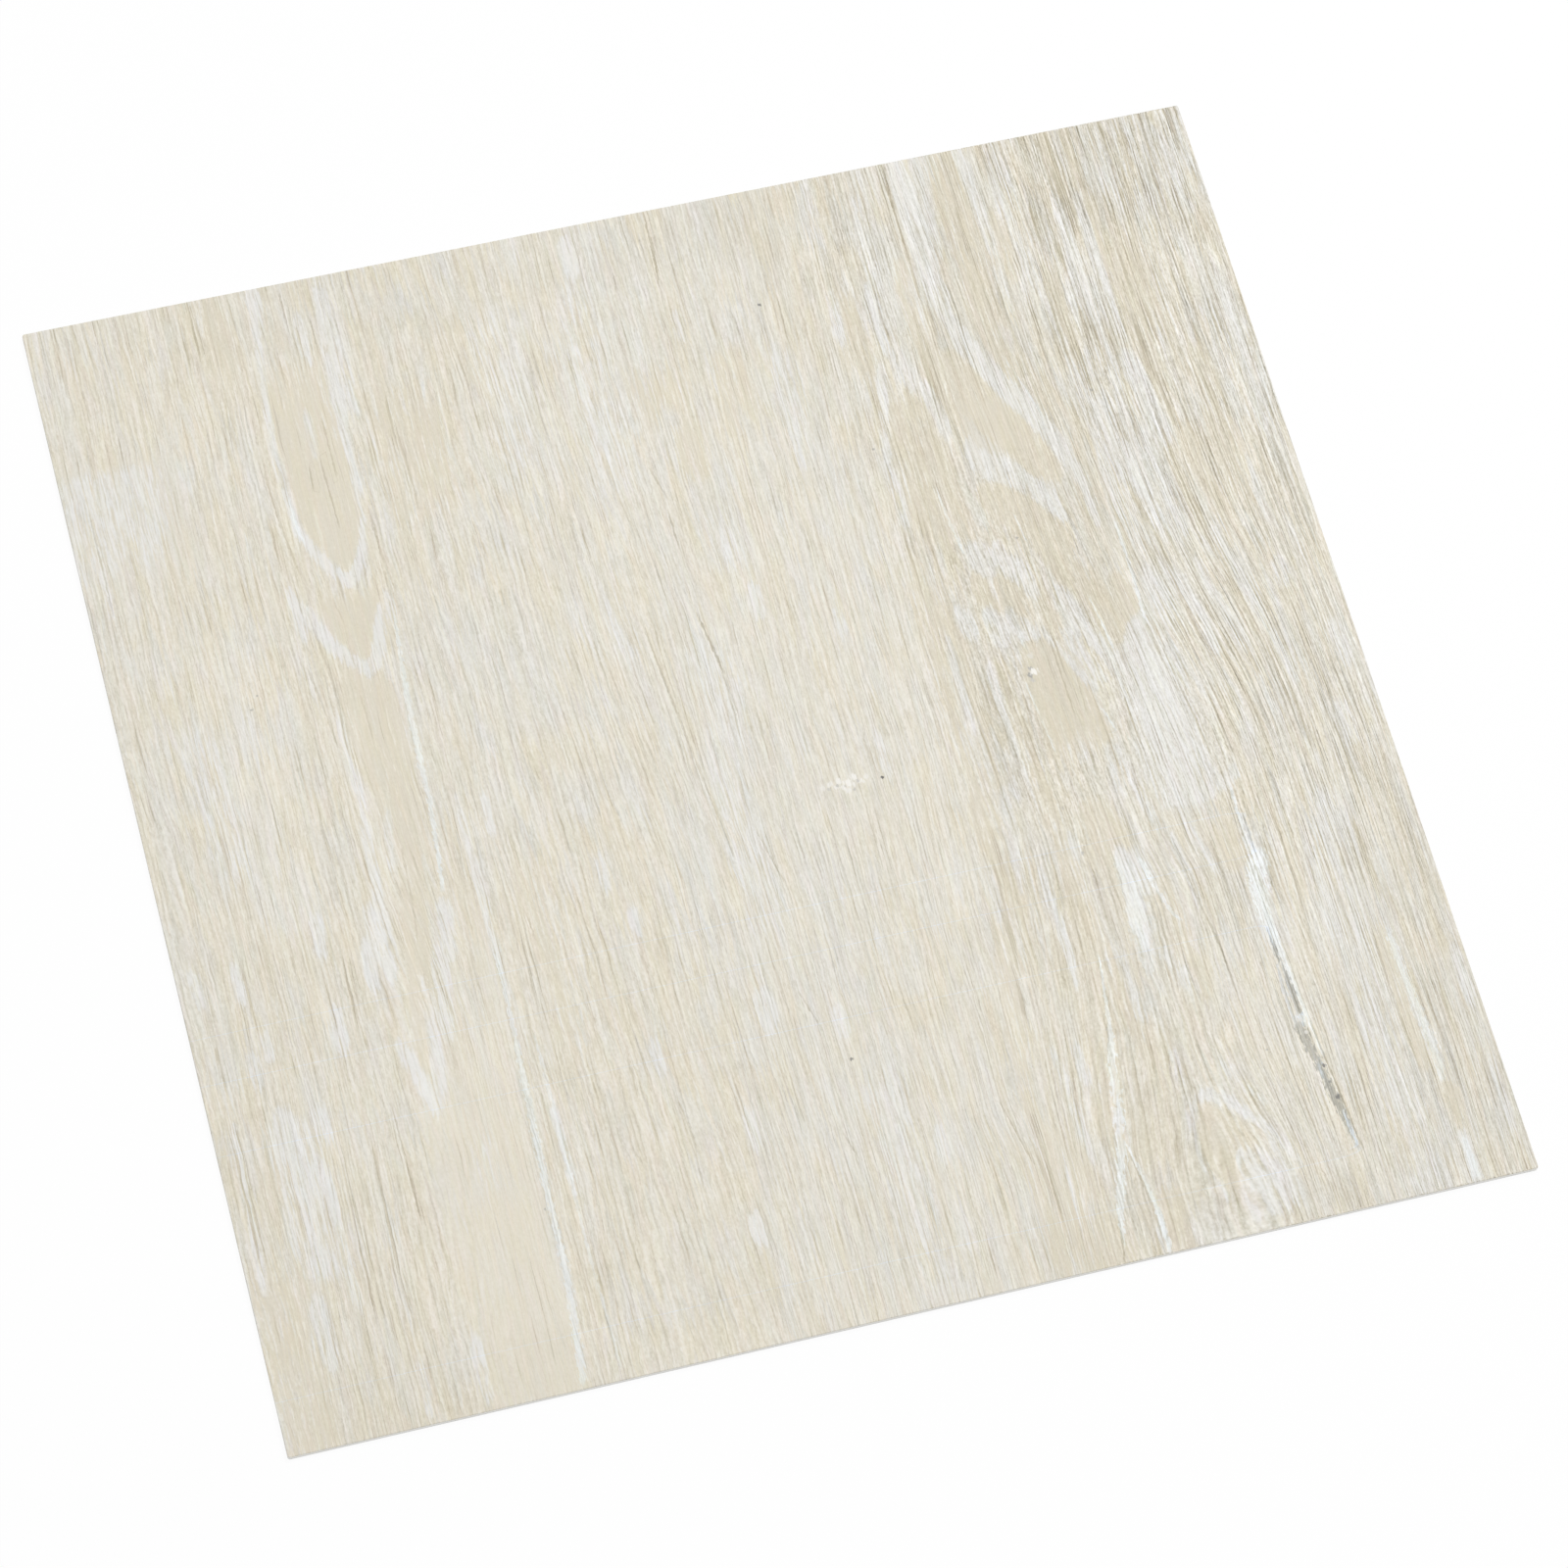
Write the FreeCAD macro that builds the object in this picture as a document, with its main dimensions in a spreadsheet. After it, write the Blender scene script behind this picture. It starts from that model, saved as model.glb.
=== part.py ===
"""Wood-look vinyl floor tile: one square, die-cut sheet of filled PVC.

The tile lies flat with its printed face up. The origin is at the middle of the back face, +Z points
out of the printed face, and the printed grain runs along Y. Lengths are in millimetres.
"""

import os

import FreeCAD
import Part
import Sketcher

# Driving dimensions: alias, value, what it is
DIMENSIONS = (
    ("tile_width", 305.0, "edge to edge, across the grain"),
    ("tile_length", 305.0, "edge to edge, along the grain"),
    ("tile_thickness", 1.5, "back face to printed face"),
    ("corner_radius", 0.6, "radius that the cutting die leaves at each corner, in plan"),
    ("die_roll", 0.2, "radius at the printed face's rim, where the die pulled the sheet down"),
)

TILE_NAME = "vinyl_tile"

# Coordinates that lie closer than this are the same, in mm
SAME_PLACE = 1e-6


def make_dimension_sheet(doc):
    """The spreadsheet that holds every driving dimension under its alias."""
    sheet = doc.addObject("Spreadsheet::Sheet", "Dimensions")
    for row, (alias, value, note) in enumerate(DIMENSIONS, start=1):
        sheet.set(f"A{row}", alias)
        sheet.set(f"B{row}", str(value))
        sheet.set(f"C{row}", note)
        sheet.setAlias(f"B{row}", alias)
    doc.recompute()
    return sheet


def origin_plane(body, role):
    """One of the body's own origin planes, found by its role."""
    return next(item for item in body.Origin.OriginFeatures if item.Role == role)


def add_tile_outline(body):
    """The square outline, centred on the origin, drawn on the plane of the back face."""
    sketch = body.newObject("Sketcher::SketchObject", "TileOutline")
    sketch.AttachmentSupport = [(origin_plane(body, "XY_Plane"), "")]
    sketch.MapMode = "FlatFace"

    # A first square to constrain; the spreadsheet gives it its real size below
    start_half = 100.0
    corners = [
        FreeCAD.Vector(-start_half, -start_half, 0),
        FreeCAD.Vector(start_half, -start_half, 0),
        FreeCAD.Vector(start_half, start_half, 0),
        FreeCAD.Vector(-start_half, start_half, 0),
    ]
    front, right, rear, left = (
        sketch.addGeometry(Part.LineSegment(corners[i], corners[(i + 1) % 4]), False)
        for i in range(4)
    )
    start_point, end_point = 1, 2
    for line, following in ((front, right), (right, rear), (rear, left), (left, front)):
        sketch.addConstraint(
            Sketcher.Constraint("Coincident", line, end_point, following, start_point)
        )
    for line in (front, rear):
        sketch.addConstraint(Sketcher.Constraint("Horizontal", line))
    for line in (right, left):
        sketch.addConstraint(Sketcher.Constraint("Vertical", line))

    root_point = (-1, 1)
    sketch.addConstraint(
        Sketcher.Constraint("Symmetric", front, start_point, rear, start_point, *root_point)
    )
    width = sketch.addConstraint(
        Sketcher.Constraint("DistanceX", front, start_point, front, end_point, 2 * start_half)
    )
    length = sketch.addConstraint(
        Sketcher.Constraint("DistanceY", right, start_point, right, end_point, 2 * start_half)
    )
    sketch.renameConstraint(width, "width")
    sketch.renameConstraint(length, "length")
    sketch.setExpression("Constraints.width", "Dimensions.tile_width")
    sketch.setExpression("Constraints.length", "Dimensions.tile_length")
    return sketch


def edge_names(shape, wanted):
    """Names, such as Edge3, of the edges of a shape that pass a test."""
    return [f"Edge{n}" for n, edge in enumerate(shape.Edges, start=1) if wanted(edge)]


def is_upright(edge):
    """True for an edge that runs straight up through the thickness."""
    box = edge.BoundBox
    return box.XLength < SAME_PLACE and box.YLength < SAME_PLACE


def make_tile(doc, sheet):
    """The tile: a padded square with rounded corners and a rolled rim round its printed face."""
    body = doc.addObject("PartDesign::Body", "Tile")
    body.Label = TILE_NAME
    outline = add_tile_outline(body)
    doc.recompute()

    sheet_pad = body.newObject("PartDesign::Pad", "SheetPad")
    sheet_pad.Profile = outline
    sheet_pad.setExpression("Length", "Dimensions.tile_thickness")
    doc.recompute()

    corners = body.newObject("PartDesign::Fillet", "CutCorners")
    corners.Base = (sheet_pad, edge_names(sheet_pad.Shape, is_upright))
    corners.setExpression("Radius", "Dimensions.corner_radius")
    doc.recompute()

    def on_printed_face(edge):
        return edge.BoundBox.ZMin > sheet.tile_thickness - SAME_PLACE

    rim = body.newObject("PartDesign::Fillet", "RolledRim")
    rim.Base = (corners, edge_names(corners.Shape, on_printed_face))
    rim.setExpression("Radius", "Dimensions.die_roll")
    body.Tip = rim
    doc.recompute()
    return body


def check_document(doc, bodies):
    """Stops the script if any object failed, or a piece isn't one valid closed solid."""
    failed = [o.Name for o in doc.Objects if {"Invalid", "Error"} & set(o.State)]
    if failed:
        raise RuntimeError(f"these objects failed to build: {failed}")
    for body in bodies:
        shape = body.Shape
        if shape.isNull() or not shape.isValid() or len(shape.Solids) != 1:
            raise RuntimeError(f"{body.Label} isn't one valid solid")


def main():
    doc = FreeCAD.newDocument("VinylFloorTile")
    sheet = make_dimension_sheet(doc)
    tile = make_tile(doc, sheet)
    check_document(doc, [tile])

    os.makedirs("parts", exist_ok=True)
    tile.Shape.exportStep(os.path.join("parts", f"{tile.Label}.step"))
    box = tile.Shape.optimalBoundingBox(False)
    print(f"{tile.Label}: {box.XLength:.2f} x {box.YLength:.2f} x {box.ZLength:.2f} mm")
    print(f"volume {tile.Shape.Volume:.1f} mm3, {len(tile.Shape.Faces)} faces")


main()
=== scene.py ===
"""Looks of a wood-look vinyl floor tile: its printed and embossed face, cut edges and plain back.

The tile lies face up at the origin, with +Z out of the printed face and the printed grain along Y.
Blender's own sizes are in metres. Places on the printed face are given in millimetres from the
middle of the tile, because the print is drawn at that scale, and MM turns them into metres.
"""

import math

import bpy
import numpy as np
from mathutils import Matrix, Vector, noise


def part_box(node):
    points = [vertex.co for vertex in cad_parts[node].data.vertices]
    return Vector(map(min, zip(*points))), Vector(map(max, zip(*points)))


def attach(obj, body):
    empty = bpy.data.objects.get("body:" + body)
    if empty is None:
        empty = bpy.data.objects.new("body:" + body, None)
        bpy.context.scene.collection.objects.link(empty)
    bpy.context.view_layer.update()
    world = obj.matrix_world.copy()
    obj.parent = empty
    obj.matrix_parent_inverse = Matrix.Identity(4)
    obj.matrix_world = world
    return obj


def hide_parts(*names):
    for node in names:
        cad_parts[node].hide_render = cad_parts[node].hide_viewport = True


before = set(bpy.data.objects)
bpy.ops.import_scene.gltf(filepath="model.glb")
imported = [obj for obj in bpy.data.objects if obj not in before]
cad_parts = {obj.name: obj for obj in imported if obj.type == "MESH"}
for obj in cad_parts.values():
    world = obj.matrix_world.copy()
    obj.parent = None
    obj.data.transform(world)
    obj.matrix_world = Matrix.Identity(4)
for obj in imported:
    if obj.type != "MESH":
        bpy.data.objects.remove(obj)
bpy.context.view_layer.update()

MM = 0.001
TILE_NODE = "vinyl_tile"

# Sheet: the outer sizes come from the frame, the small radii are those of the cut. The sheet is
# square, so its print ends at the same distance from the middle on all four sides
SHEET_LOW, SHEET_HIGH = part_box(TILE_NODE)
HALF_WIDTH = (SHEET_HIGH[0] - SHEET_LOW[0]) / 2 / MM
HALF_LENGTH = (SHEET_HIGH[1] - SHEET_LOW[1]) / 2 / MM
EDGE = HALF_WIDTH
THICKNESS = (SHEET_HIGH[2] - SHEET_LOW[2]) / MM
CORNER_RADIUS = 0.6
DIE_ROLL = 0.2

# Mesh of the printed face: close together across the grain, wider apart along it
COLUMNS = 430
ROWS = 200
RIM_LINES = (0.0, 0.02, 0.06, 0.12, 0.2, 0.36, 0.6)

# Emboss: how deep the face is pressed in, and how much deeper or less deep in waves along the
# grain, in mm, the width and length in mm and seed of the waves, and how far the contrast counts
EMBOSS_DEPTH = 0.022
EMBOSS_SWING = 0.02
EMBOSS_WAVES = (1.9, 22, 3.5)
EMBOSS_CONTRAST = (0.3, 1.6)

# Dents of the crisp lines: depth in mm for each tone level that a line is darker, the change of tone
# from which they get no deeper, and where they end, in half widths
LINE_DEPTH = 0.0012
DEEPEST_CHANGE = 50
LINE_DENT = 1.6

# Camera: where it stands and aims, in millimetres, and how it is rolled, in degrees
CAMERA_PLACE = (-213.28, -567.0, 1249.4)
CAMERA_AIM = (2.96, -12.25, 0.0)
CAMERA_ROLL = -7.2
CAMERA_LENS = 129.81
CAMERA_SENSOR = 36.0
CAMERA_CLIP = (0.1, 50.0)

# Light: a white sky all round, and one soft lamp that the emboss throws its small shades from
SKY_STRENGTH = 0.64
LAMP_PLACE = (0.9, 0.7, 1.7)
LAMP_SIZE = 0.9
LAMP_POWER = 19.2
FLOOR_SIZE = 12.0
FLOOR_COLOUR = (0.93, 0.93, 0.93)
FLOOR_GLOW = 0.93

# Leans, where the grain leaves the straight: the middle in mm, the reach across and along it,
# and how far the lines have moved to the right when they come out at the bottom
LEANS = (
    (120, 10, 26, 60, 14),
    (84, 40, 30, 120, 7),
    (90, 80, 14, 30, 2),
    (-32, 0, 26, 200, 9),
    (33, -115, 10, 16, 3),
    (50, -110, 20, 60, -7),
    (46, 80, 20, 140, -4),
    (-93, -30, 12, 40, 4),
    (-140, 0, 12, 90, 3),
    (92, -55, 12, 14, 2.5),
    (94, -124, 11, 30, 6),
    (70, -124, 8, 30, -2.5),
)

# How much closer the lines lie on the right: the extra share, and where and how softly it sets in
FINER_SHARE = 0.3
FINER_FROM = 52.0
FINER_SOFTNESS = 10.0

# Wanders, where the grain sways by itself: how far, across and along in mm, and the seed
WANDERS = (
    (1.1, 14, 55, 1.5),
    (0.3, 4, 16, 2.5),
)

# Strokes of white pigment: half the width across the grain in mm, the strength, and points in mm
# along the stroke
WHITE_STROKES = (
    # Left figure: legs and tips of its tongues, from the top down
    (1.0, 0.9, (-93.5, 152), (-94.5, 140)),
    (0.35, 0.7, (-95, 141), (-96.5, 125), (-98, 108), (-98.2, 92)),
    (0.6, 1.1, (-98.2, 94), (-96.8, 82), (-93.5, 74), (-91, 69.5), (-88, 66), (-85, 69.5), (-82.8, 74),
     (-81, 82)),
    (0.5, 0.9, (-81, 84), (-80.3, 95), (-79.8, 110)),
    (1.3, 0.9, (-79.6, 110), (-78.8, 122), (-78, 134), (-76.8, 152)),
    (0.8, 0.5, (-76.5, 135), (-75.5, 112)),
    (0.9, 1.0, (-99.5, 60), (-98, 53), (-94.5, 47.5), (-91.5, 43.5), (-88.8, 41), (-86, 44.5), (-84, 50),
     (-82.4, 57)),
    (0.8, 1.0, (-103.5, 66), (-102, 60), (-102.5, 53)),
    (1.0, 0.6, (-80.5, 60), (-80, 54)),
    (1.6, 0.75, (-101, -20), (-101.5, -32), (-102, -40)),
    (0.4, 0.6, (-99, 30), (-98.5, 14), (-99, 2)),
    (0.8, 0.6, (-84, 142), (-84, 128)),
    (0.7, 0.6, (-88, 114), (-88.5, 102)),
    (0.8, 0.8, (-99.3, 3), (-99.8, -12), (-101, -24)),
    (0.5, 0.6, (-93, 2), (-95.5, -12)),
    (1.3, 0.95, (-85.5, -25), (-87, -38)),
    (1.7, 0.65, (-89.5, -37), (-91, -46), (-92, -58)),
    (1.3, 0.8, (-103, -22), (-103.5, -30)),
    (1.0, 0.9, (-106, -31), (-106.5, -42)),
    (1.1, 1.0, (-104, -58), (-101.8, -66), (-99.3, -77)),
    (1.2, 0.75, (-94.5, -42), (-95.5, -54), (-96.6, -64), (-97.5, -74)),
    (0.4, 0.6, (-76, 2), (-76, -52)),
    (0.5, 0.7, (-72.6, -84), (-72.8, -104)),
    (0.4, 0.9, (-69.5, 1), (-69.6, -9)),
    # Left edge
    (1.1, 0.9, (-116.5, -22), (-117, -31)),
    (0.9, 0.8, (-148, -29), (-147.5, -37)),
    (0.6, 0.9, (-138.2, -29), (-138, -38)),
    (1.0, 0.8, (-117, -46), (-117.5, -56)),
    (0.9, 0.7, (-135, -49), (-134.8, -54)),
    (0.7, 0.7, (-139, -53), (-138.5, -61)),
    (2.4, 0.85, (-135, -71), (-135, -79)),
    (1.5, 0.7, (-126, -72), (-126, -76)),
    (1.2, 0.8, (-134.5, -82), (-133.5, -92)),
    (1.6, 0.8, (-134, -96), (-134.5, -110)),
    (1.2, 0.8, (-129.5, -82), (-129, -98)),
    (1.6, 0.75, (-137.5, -117), (-137.5, -133)),
    (0.8, 0.7, (-128, -105), (-128, -120)),
    (0.4, 0.6, (-147, -70), (-149, -112)),
    (0.6, 0.6, (-146.5, 82), (-147, 70)),
    (0.9, 0.6, (-104, -135), (-104.5, -150)),
    (0.6, 0.6, (-118, -136), (-118, -150)),
    # Middle
    (1.5, 1.2, (-13, 147), (-13.2, 139)),
    (0.8, 0.7, (-14.5, 130), (-14.5, 125)),
    (0.9, 0.7, (9.7, 121), (9.3, 114)),
    (1.2, 0.7, (31, 105), (31, 99)),
    (1.2, 1.0, (8.8, 40), (8.6, 34)),
    (2.0, 0.9, (-17, -68), (-17, -72)),
    (1.0, 0.9, (-41.5, -38), (-41.5, -42)),
    (1.2, 0.9, (-33, -121), (-33, -127)),
    (1.0, 0.8, (-28, -95), (-28, -103)),
    (0.9, 0.7, (-45, -72), (-45, -79)),
    (0.8, 0.7, (-46, -22), (-46.5, -30)),
    (1.2, 0.7, (0, -75), (0, -79)),
    (1.2, 0.6, (5, -130), (5, -135)),
    (0.8, 0.6, (15, -110), (15, -117)),
    (0.8, 0.6, (28.5, -4), (28.5, -18)),
    (1.1, 0.6, (27.5, 29), (27.5, 24)),
    # Right figure: its arches from the top down
    (2.2, 0.95, (76, 152), (76, 134), (76.2, 116), (76.6, 104)),
    (1.2, 0.6, (80.5, 152), (80.3, 138), (79.3, 122)),
    (1.7, 1.0, (77.3, 106), (78, 99), (81, 91.5), (84, 85), (87.8, 78), (91.5, 70.5), (93.8, 63.5),
     (96, 56)),
    (0.9, 0.8, (96.3, 57), (97.6, 50), (97.8, 40)),
    (1.4, 0.5, (63, 143), (63, 128), (60.5, 116)),
    (1.6, 0.85, (59.3, 117), (59.3, 105), (61.2, 95), (62.6, 87)),
    (1.0, 0.85, (66, 87), (67, 80), (67.5, 72)),
    (1.5, 1.05, (72.4, 68), (72.6, 64), (76, 60.3), (80.5, 57.2), (84.5, 52.5), (88, 47.5), (90.2, 43.6)),
    (1.8, 0.8, (74, 61), (79, 58.5), (83.5, 54.5)),
    (0.8, 0.8, (56.3, 94), (54.4, 84), (52.8, 77), (51.3, 68)),
    (0.7, 0.5, (51, 66), (50.5, 47)),
    (1.0, 0.6, (49.6, 118), (48.6, 104)),
    (0.7, 0.6, (51.5, 152), (51, 132)),
    (2.0, 0.8, (65.5, 37), (68, 34)),
    (1.6, 0.9, (71, 38), (72, 33), (75.4, 29), (77.6, 24)),
    (0.8, 0.8, (83, 22), (84.5, 15), (88, 8), (91.5, 1)),
    (2.2, 0.8, (83.5, 21), (84.5, 13)),
    (1.5, 0.8, (57, 22), (59, 17)),
    (1.9, 1.0, (64.5, 19), (65.5, 13.5)),
    (1.4, 0.8, (69.5, 20), (71, 15), (74.5, 12.5)),
    (0.2, 0.9, (76, 12.5), (79, 6), (81.5, 0), (84.5, -5)),
    (0.9, 0.75, (80.5, 12), (84, 5), (87.5, -3)),
    (0.2, 0.9, (86, 9), (89.5, 0), (91.5, -6)),
    (0.6, 0.8, (60.4, 6), (60.2, -6), (60.5, -18)),
    (0.7, 0.7, (56.4, -11), (57.5, -30)),
    (0.6, 0.7, (52.4, 16), (51.8, -10)),
    (0.8, 0.6, (54.6, -27), (53.2, -41), (51.8, -54)),
    (0.6, 0.8, (57.2, -50), (58.2, -70), (57.6, -80)),
    (0.8, 0.5, (45.6, -43), (44.2, -60)),
    (1.0, 0.7, (98.5, -20), (98.3, -39)),
    (0.6, 1.1, (97, -39.5), (102, -39.2), (107, -38), (112, -35.5)),
    (0.35, 0.9, (95.4, -44.5), (98, -55), (100, -59.5)),
    (0.35, 0.8, (86, -31), (87.6, -39), (90, -46)),
    (0.35, 0.7, (91.5, -49), (92.6, -67)),
    (1.3, 0.45, (76, -22), (76, -18)),
    (1.5, 0.45, (84, -22), (83, -34)),
    (0.6, 0.8, (67.4, -43), (67.6, -48)),
    (1.8, 0.85, (78, -50), (78, -62), (77, -74)),
    (2.0, 0.75, (81, -52), (82.5, -60)),
    (2.0, 1.0, (111, -57), (109.6, -63), (108, -72), (107.6, -80)),
    (0.8, 0.5, (70, -72), (70.5, -82), (71, -93)),
    (1.4, 0.45, (81, -78), (84, -87)),
    (0.9, 0.7, (53, -97), (53.5, -106)),
    (0.5, 0.7, (47, -95), (48.5, -108), (49, -126)),
    (0.6, 0.7, (75.4, -103), (76, -111)),
    (0.3, 0.9, (74, -122), (76, -118.5), (79, -116), (83, -117), (88.5, -122.5), (93.5, -129.5),
     (97, -138)),
    (0.2, 0.7, (74.2, -123), (74.6, -132), (77.6, -142)),
    (0.35, 0.7, (86.5, -109), (90, -115), (93, -121)),
    (2.8, 0.9, (84, -135), (87, -139), (89.5, -144)),
    (1.8, 0.9, (91, -139), (92.5, -145)),
    (0.8, 0.8, (60, -146), (60.3, -152)),
    # Right edge
    (0.9, 0.5, (93, 152), (93.5, 128), (93.3, 104)),
    (1.0, 0.9, (113, 133), (113.5, 116), (113, 99)),
    (0.8, 0.8, (119.3, 132), (119, 110), (119.3, 88)),
    (1.9, 0.8, (118.5, 84), (120, 70), (121.5, 58)),
    (1.1, 0.85, (103.5, 85), (106, 72), (108.5, 58), (110, 46)),
    (1.4, 0.6, (112.5, 50), (113, 34)),
    (1.2, 0.6, (117.5, 46), (118.5, 32)),
    (4.4, 0.9, (101.4, 9), (99, 0), (100, -14), (98, -26), (99, -36)),
    (1.8, 0.5, (107, 22), (107.5, 8)),
    (0.5, 0.9, (112.5, 21), (115, 10), (117, -2)),
    (0.5, 0.8, (119, 24), (121.5, 10), (124, -4)),
    (0.5, 0.8, (126.5, 30), (128, 18), (131, 4), (134, -14)),
    (1.3, 0.7, (138.5, 17), (138.5, 13)),
    (2.0, 0.5, (147, -3), (147.5, -10)),
    (1.5, 0.7, (142.5, -24), (143, -33)),
    (2.0, 0.5, (131, -46), (131.5, -58)),
    (0.7, 0.8, (150, -93), (150, -107)),
    (0.6, 0.8, (149.8, -123), (149.8, -140)),
    (1.6, 0.5, (148, 150), (148, 122)),
    (0.9, 0.8, (137.3, -140), (137.3, -152)),
)

# Strokes fade farther along the grain than across it, and narrow towards their tips: the share of
# the width that is left at a tip, and how fast it grows to the full width
STROKE_STRETCH = 1.8
STROKE_TIP = 0.35
STROKE_TAPER = 4

# How softly the sides of the strokes fade, in mm
WHITE_FEATHER = 1.1
TAN_FEATHER = 1.5
DARK_FEATHER = 1.2

# How strongly white strokes and chalk wash the wood
WHITE_WASH = 0.9
CHALK_WASH = 0.7

# Distance between the points of a curve, in mm
CURVE_STEP = 0.7

# Strokes of bare, tan wood, described like the white ones
TAN_STROKES = (
    # Between the arches of the right figure, from the top down
    (2.2, 0.7, (69, 122), (69, 108), (69.5, 94), (71.5, 78)),
    (3.2, 1.0, (74, 92), (77, 82), (81, 73), (86, 65), (91.5, 56)),
    (1.8, 0.6, (84.5, 110), (86.5, 96), (89.5, 84)),
    (2.6, 0.9, (72, 53), (77, 48), (83, 42), (88, 35)),
    (2.6, 0.8, (64, 29), (68, 26), (72, 22)),
    (2.2, 0.7, (81, 40), (87, 28), (92, 18), (96, 6)),
    (2.0, 0.8, (98, 22), (98, 6)),
    (0.8, 0.7, (79, 16), (84, 7), (88.5, -2)),
    (1.0, 0.4, (86.5, -60), (88, -90)),
    # Right edge
    (1.2, 0.7, (115.8, 152), (115.8, 134)),
    (1.8, 0.6, (96.5, 130), (96.5, 112)),
    (1.4, 0.6, (105.5, 112), (106, 86)),
    (1.1, 0.7, (121, 152), (121.3, 120), (123.5, 92), (125, 62)),
    (1.3, 0.5, (127.5, 60), (128.5, 26)),
    (2.2, 1.0, (104.5, -50), (104.5, -57)),
    (1.0, 0.9, (133.7, -85), (133.8, -120)),
    (0.8, 0.8, (138.3, -129), (138.3, -133)),
    # Left figure and middle
    (5.8, 0.75, (-90.5, 35), (-90.5, 24), (-90, 12)),
    (3.6, 0.7, (-90, 12), (-90, 2), (-90.5, -8)),
    (1.9, 0.85, (-91, -8), (-92, -20), (-94, -34), (-96.5, -50), (-98, -62)),
    (0.9, 0.7, (16.3, 106), (15.6, 86)),
    (0.8, 0.5, (21, 108), (21, 88)),
    (1.6, 0.5, (48, -20), (46, -48), (42, -78), (38, -110)),
    (1.6, 0.5, (62, 5), (64, -30), (66, -70), (69, -100)),
)

# Tongues of bare wood: the tip, in mm, the height of the open end, half the width, how soon it
# widens from the tip, how far it leans to the right at its open end, and its strength
TAN_TONGUES = (
    (-88.3, 67, 134, 8.6, 12, 0, 0.9),
    (-88.6, 43, 64, 8.4, 10, 0, 1.0),
    (-99.6, -68, -38, 3.2, 14, 3, 0.9),
    (79.5, -117.5, -142, 4.6, 8, 0, 0.9),
    (73, 13, -25, 8.2, 14, 5, 1.0),
)

# How a tongue fades: at its sides and its tip in mm, and at its open end as a share of its length
TONGUE_SIDE = 1.2
TONGUE_TIP = 2
TONGUE_END = 0.3

# Patches where the white pigment lies thinly: left, right, bottom and top in mm, the softness of
# those four sides, or across and along the grain where it is the same on both, and the strength
CHALK_PATCHES = (
    (-EDGE, -128, 84, 109, 2, 8, 26, 2, 0.7),
    (-137, -128, -10, 34, 6, 14, 0.45),
    (-140, -127, -112, -71, 6, 6, 4, 3, 0.55),
    (-22, -10, 74, 132, 6, 12, 0.4),
    (-45, -34, 84, 132, 6, 12, 0.4),
    (-29, -22, 28, 46, 5, 8, 0.4),
    (0, 9, 46, 64, 5, 8, 0.4),
    (-15, -6, -50, -2, 5, 14, 0.4),
    (-12, 0, 0, 30, 5, 10, 0.4),
    (28, 36, 72, 106, 4, 5, 14, 8, 0.4),
    (0, 10, -150, -90, 5, 14, 0.3),
    (98, 104, 110, EDGE, 3, 3, 14, 3, 0.5),
    (108, 116, 94, 130, 3, 4, 10, 14, 0.45),
    (103, 118, 30, 88, 5, 6, 14, 14, 0.5),
    (91, 107, -41, 4, 4, 4, 1.5, 8, 0.8),
    (104, 111, 0, 26, 3, 3, 12, 8, 0.4),
    (125, EDGE, 122, EDGE, 6, 4, 12, 4, 0.4),
    (140, 152, 55, 94, 5, 3, 14, 10, 0.4),
    (121, 131, -152, -60, 4, 4, 14, 12, 0.4),
    (126, 136, -62, -44, 4, 4, 6, 5, 0.4),
    (81, 94, -149, -130, 4, 4, 4, 8, 0.6),
    (-94, -88, -100, -86, 4, 8, 0.4),
)

# Patches of bare, tan wood, described like the chalk
TAN_PATCHES = (
    (71, 80, -50, -35, 4, 4, 5, 4, 0.7),
    (83, 91, 100, EDGE, 2, 3, 12, 3, 0.7),
    (54, 66, 42, 84, 2, 3, 6, 10, 0.8),
    (51, 56, 90, 118, 2, 10, 0.6),
    (61.5, 67, -EDGE, -137, 2, 3, 2, 4, 1.0),
    (45, 56, -66, 40, 5, 20, 0.3),
    (52, 61, -132, -100, 4, 8, 0.3),
    (121, 134, 88, 120, 4, 5, 10, 10, 0.45),
    (133, 140, 36, 84, 4, 12, 0.35),
    (112, 120, -70, -42, 4, 8, 0.3),
    # Middle and left
    (0, 7, 74, 90, 3, 6, 0.5),
    (-8, 8, 95, 108, 4, 8, 0.45),
    (14, 22, 92, 106, 4, 8, 0.4),
    (-74, -55, 80, 116, 5, 10, 0.45),
    (-EDGE, -140, -EDGE, -108, 4, 6, 2, 20, 0.55),
    (-66, -58, -70, -20, 5, 14, 0.35),
    (-110, -101, 128, EDGE, 4, 4, 10, 3, 0.3),
    (32, 48, -EDGE, -118, 5, 5, 2, 12, 0.35),
)

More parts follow.
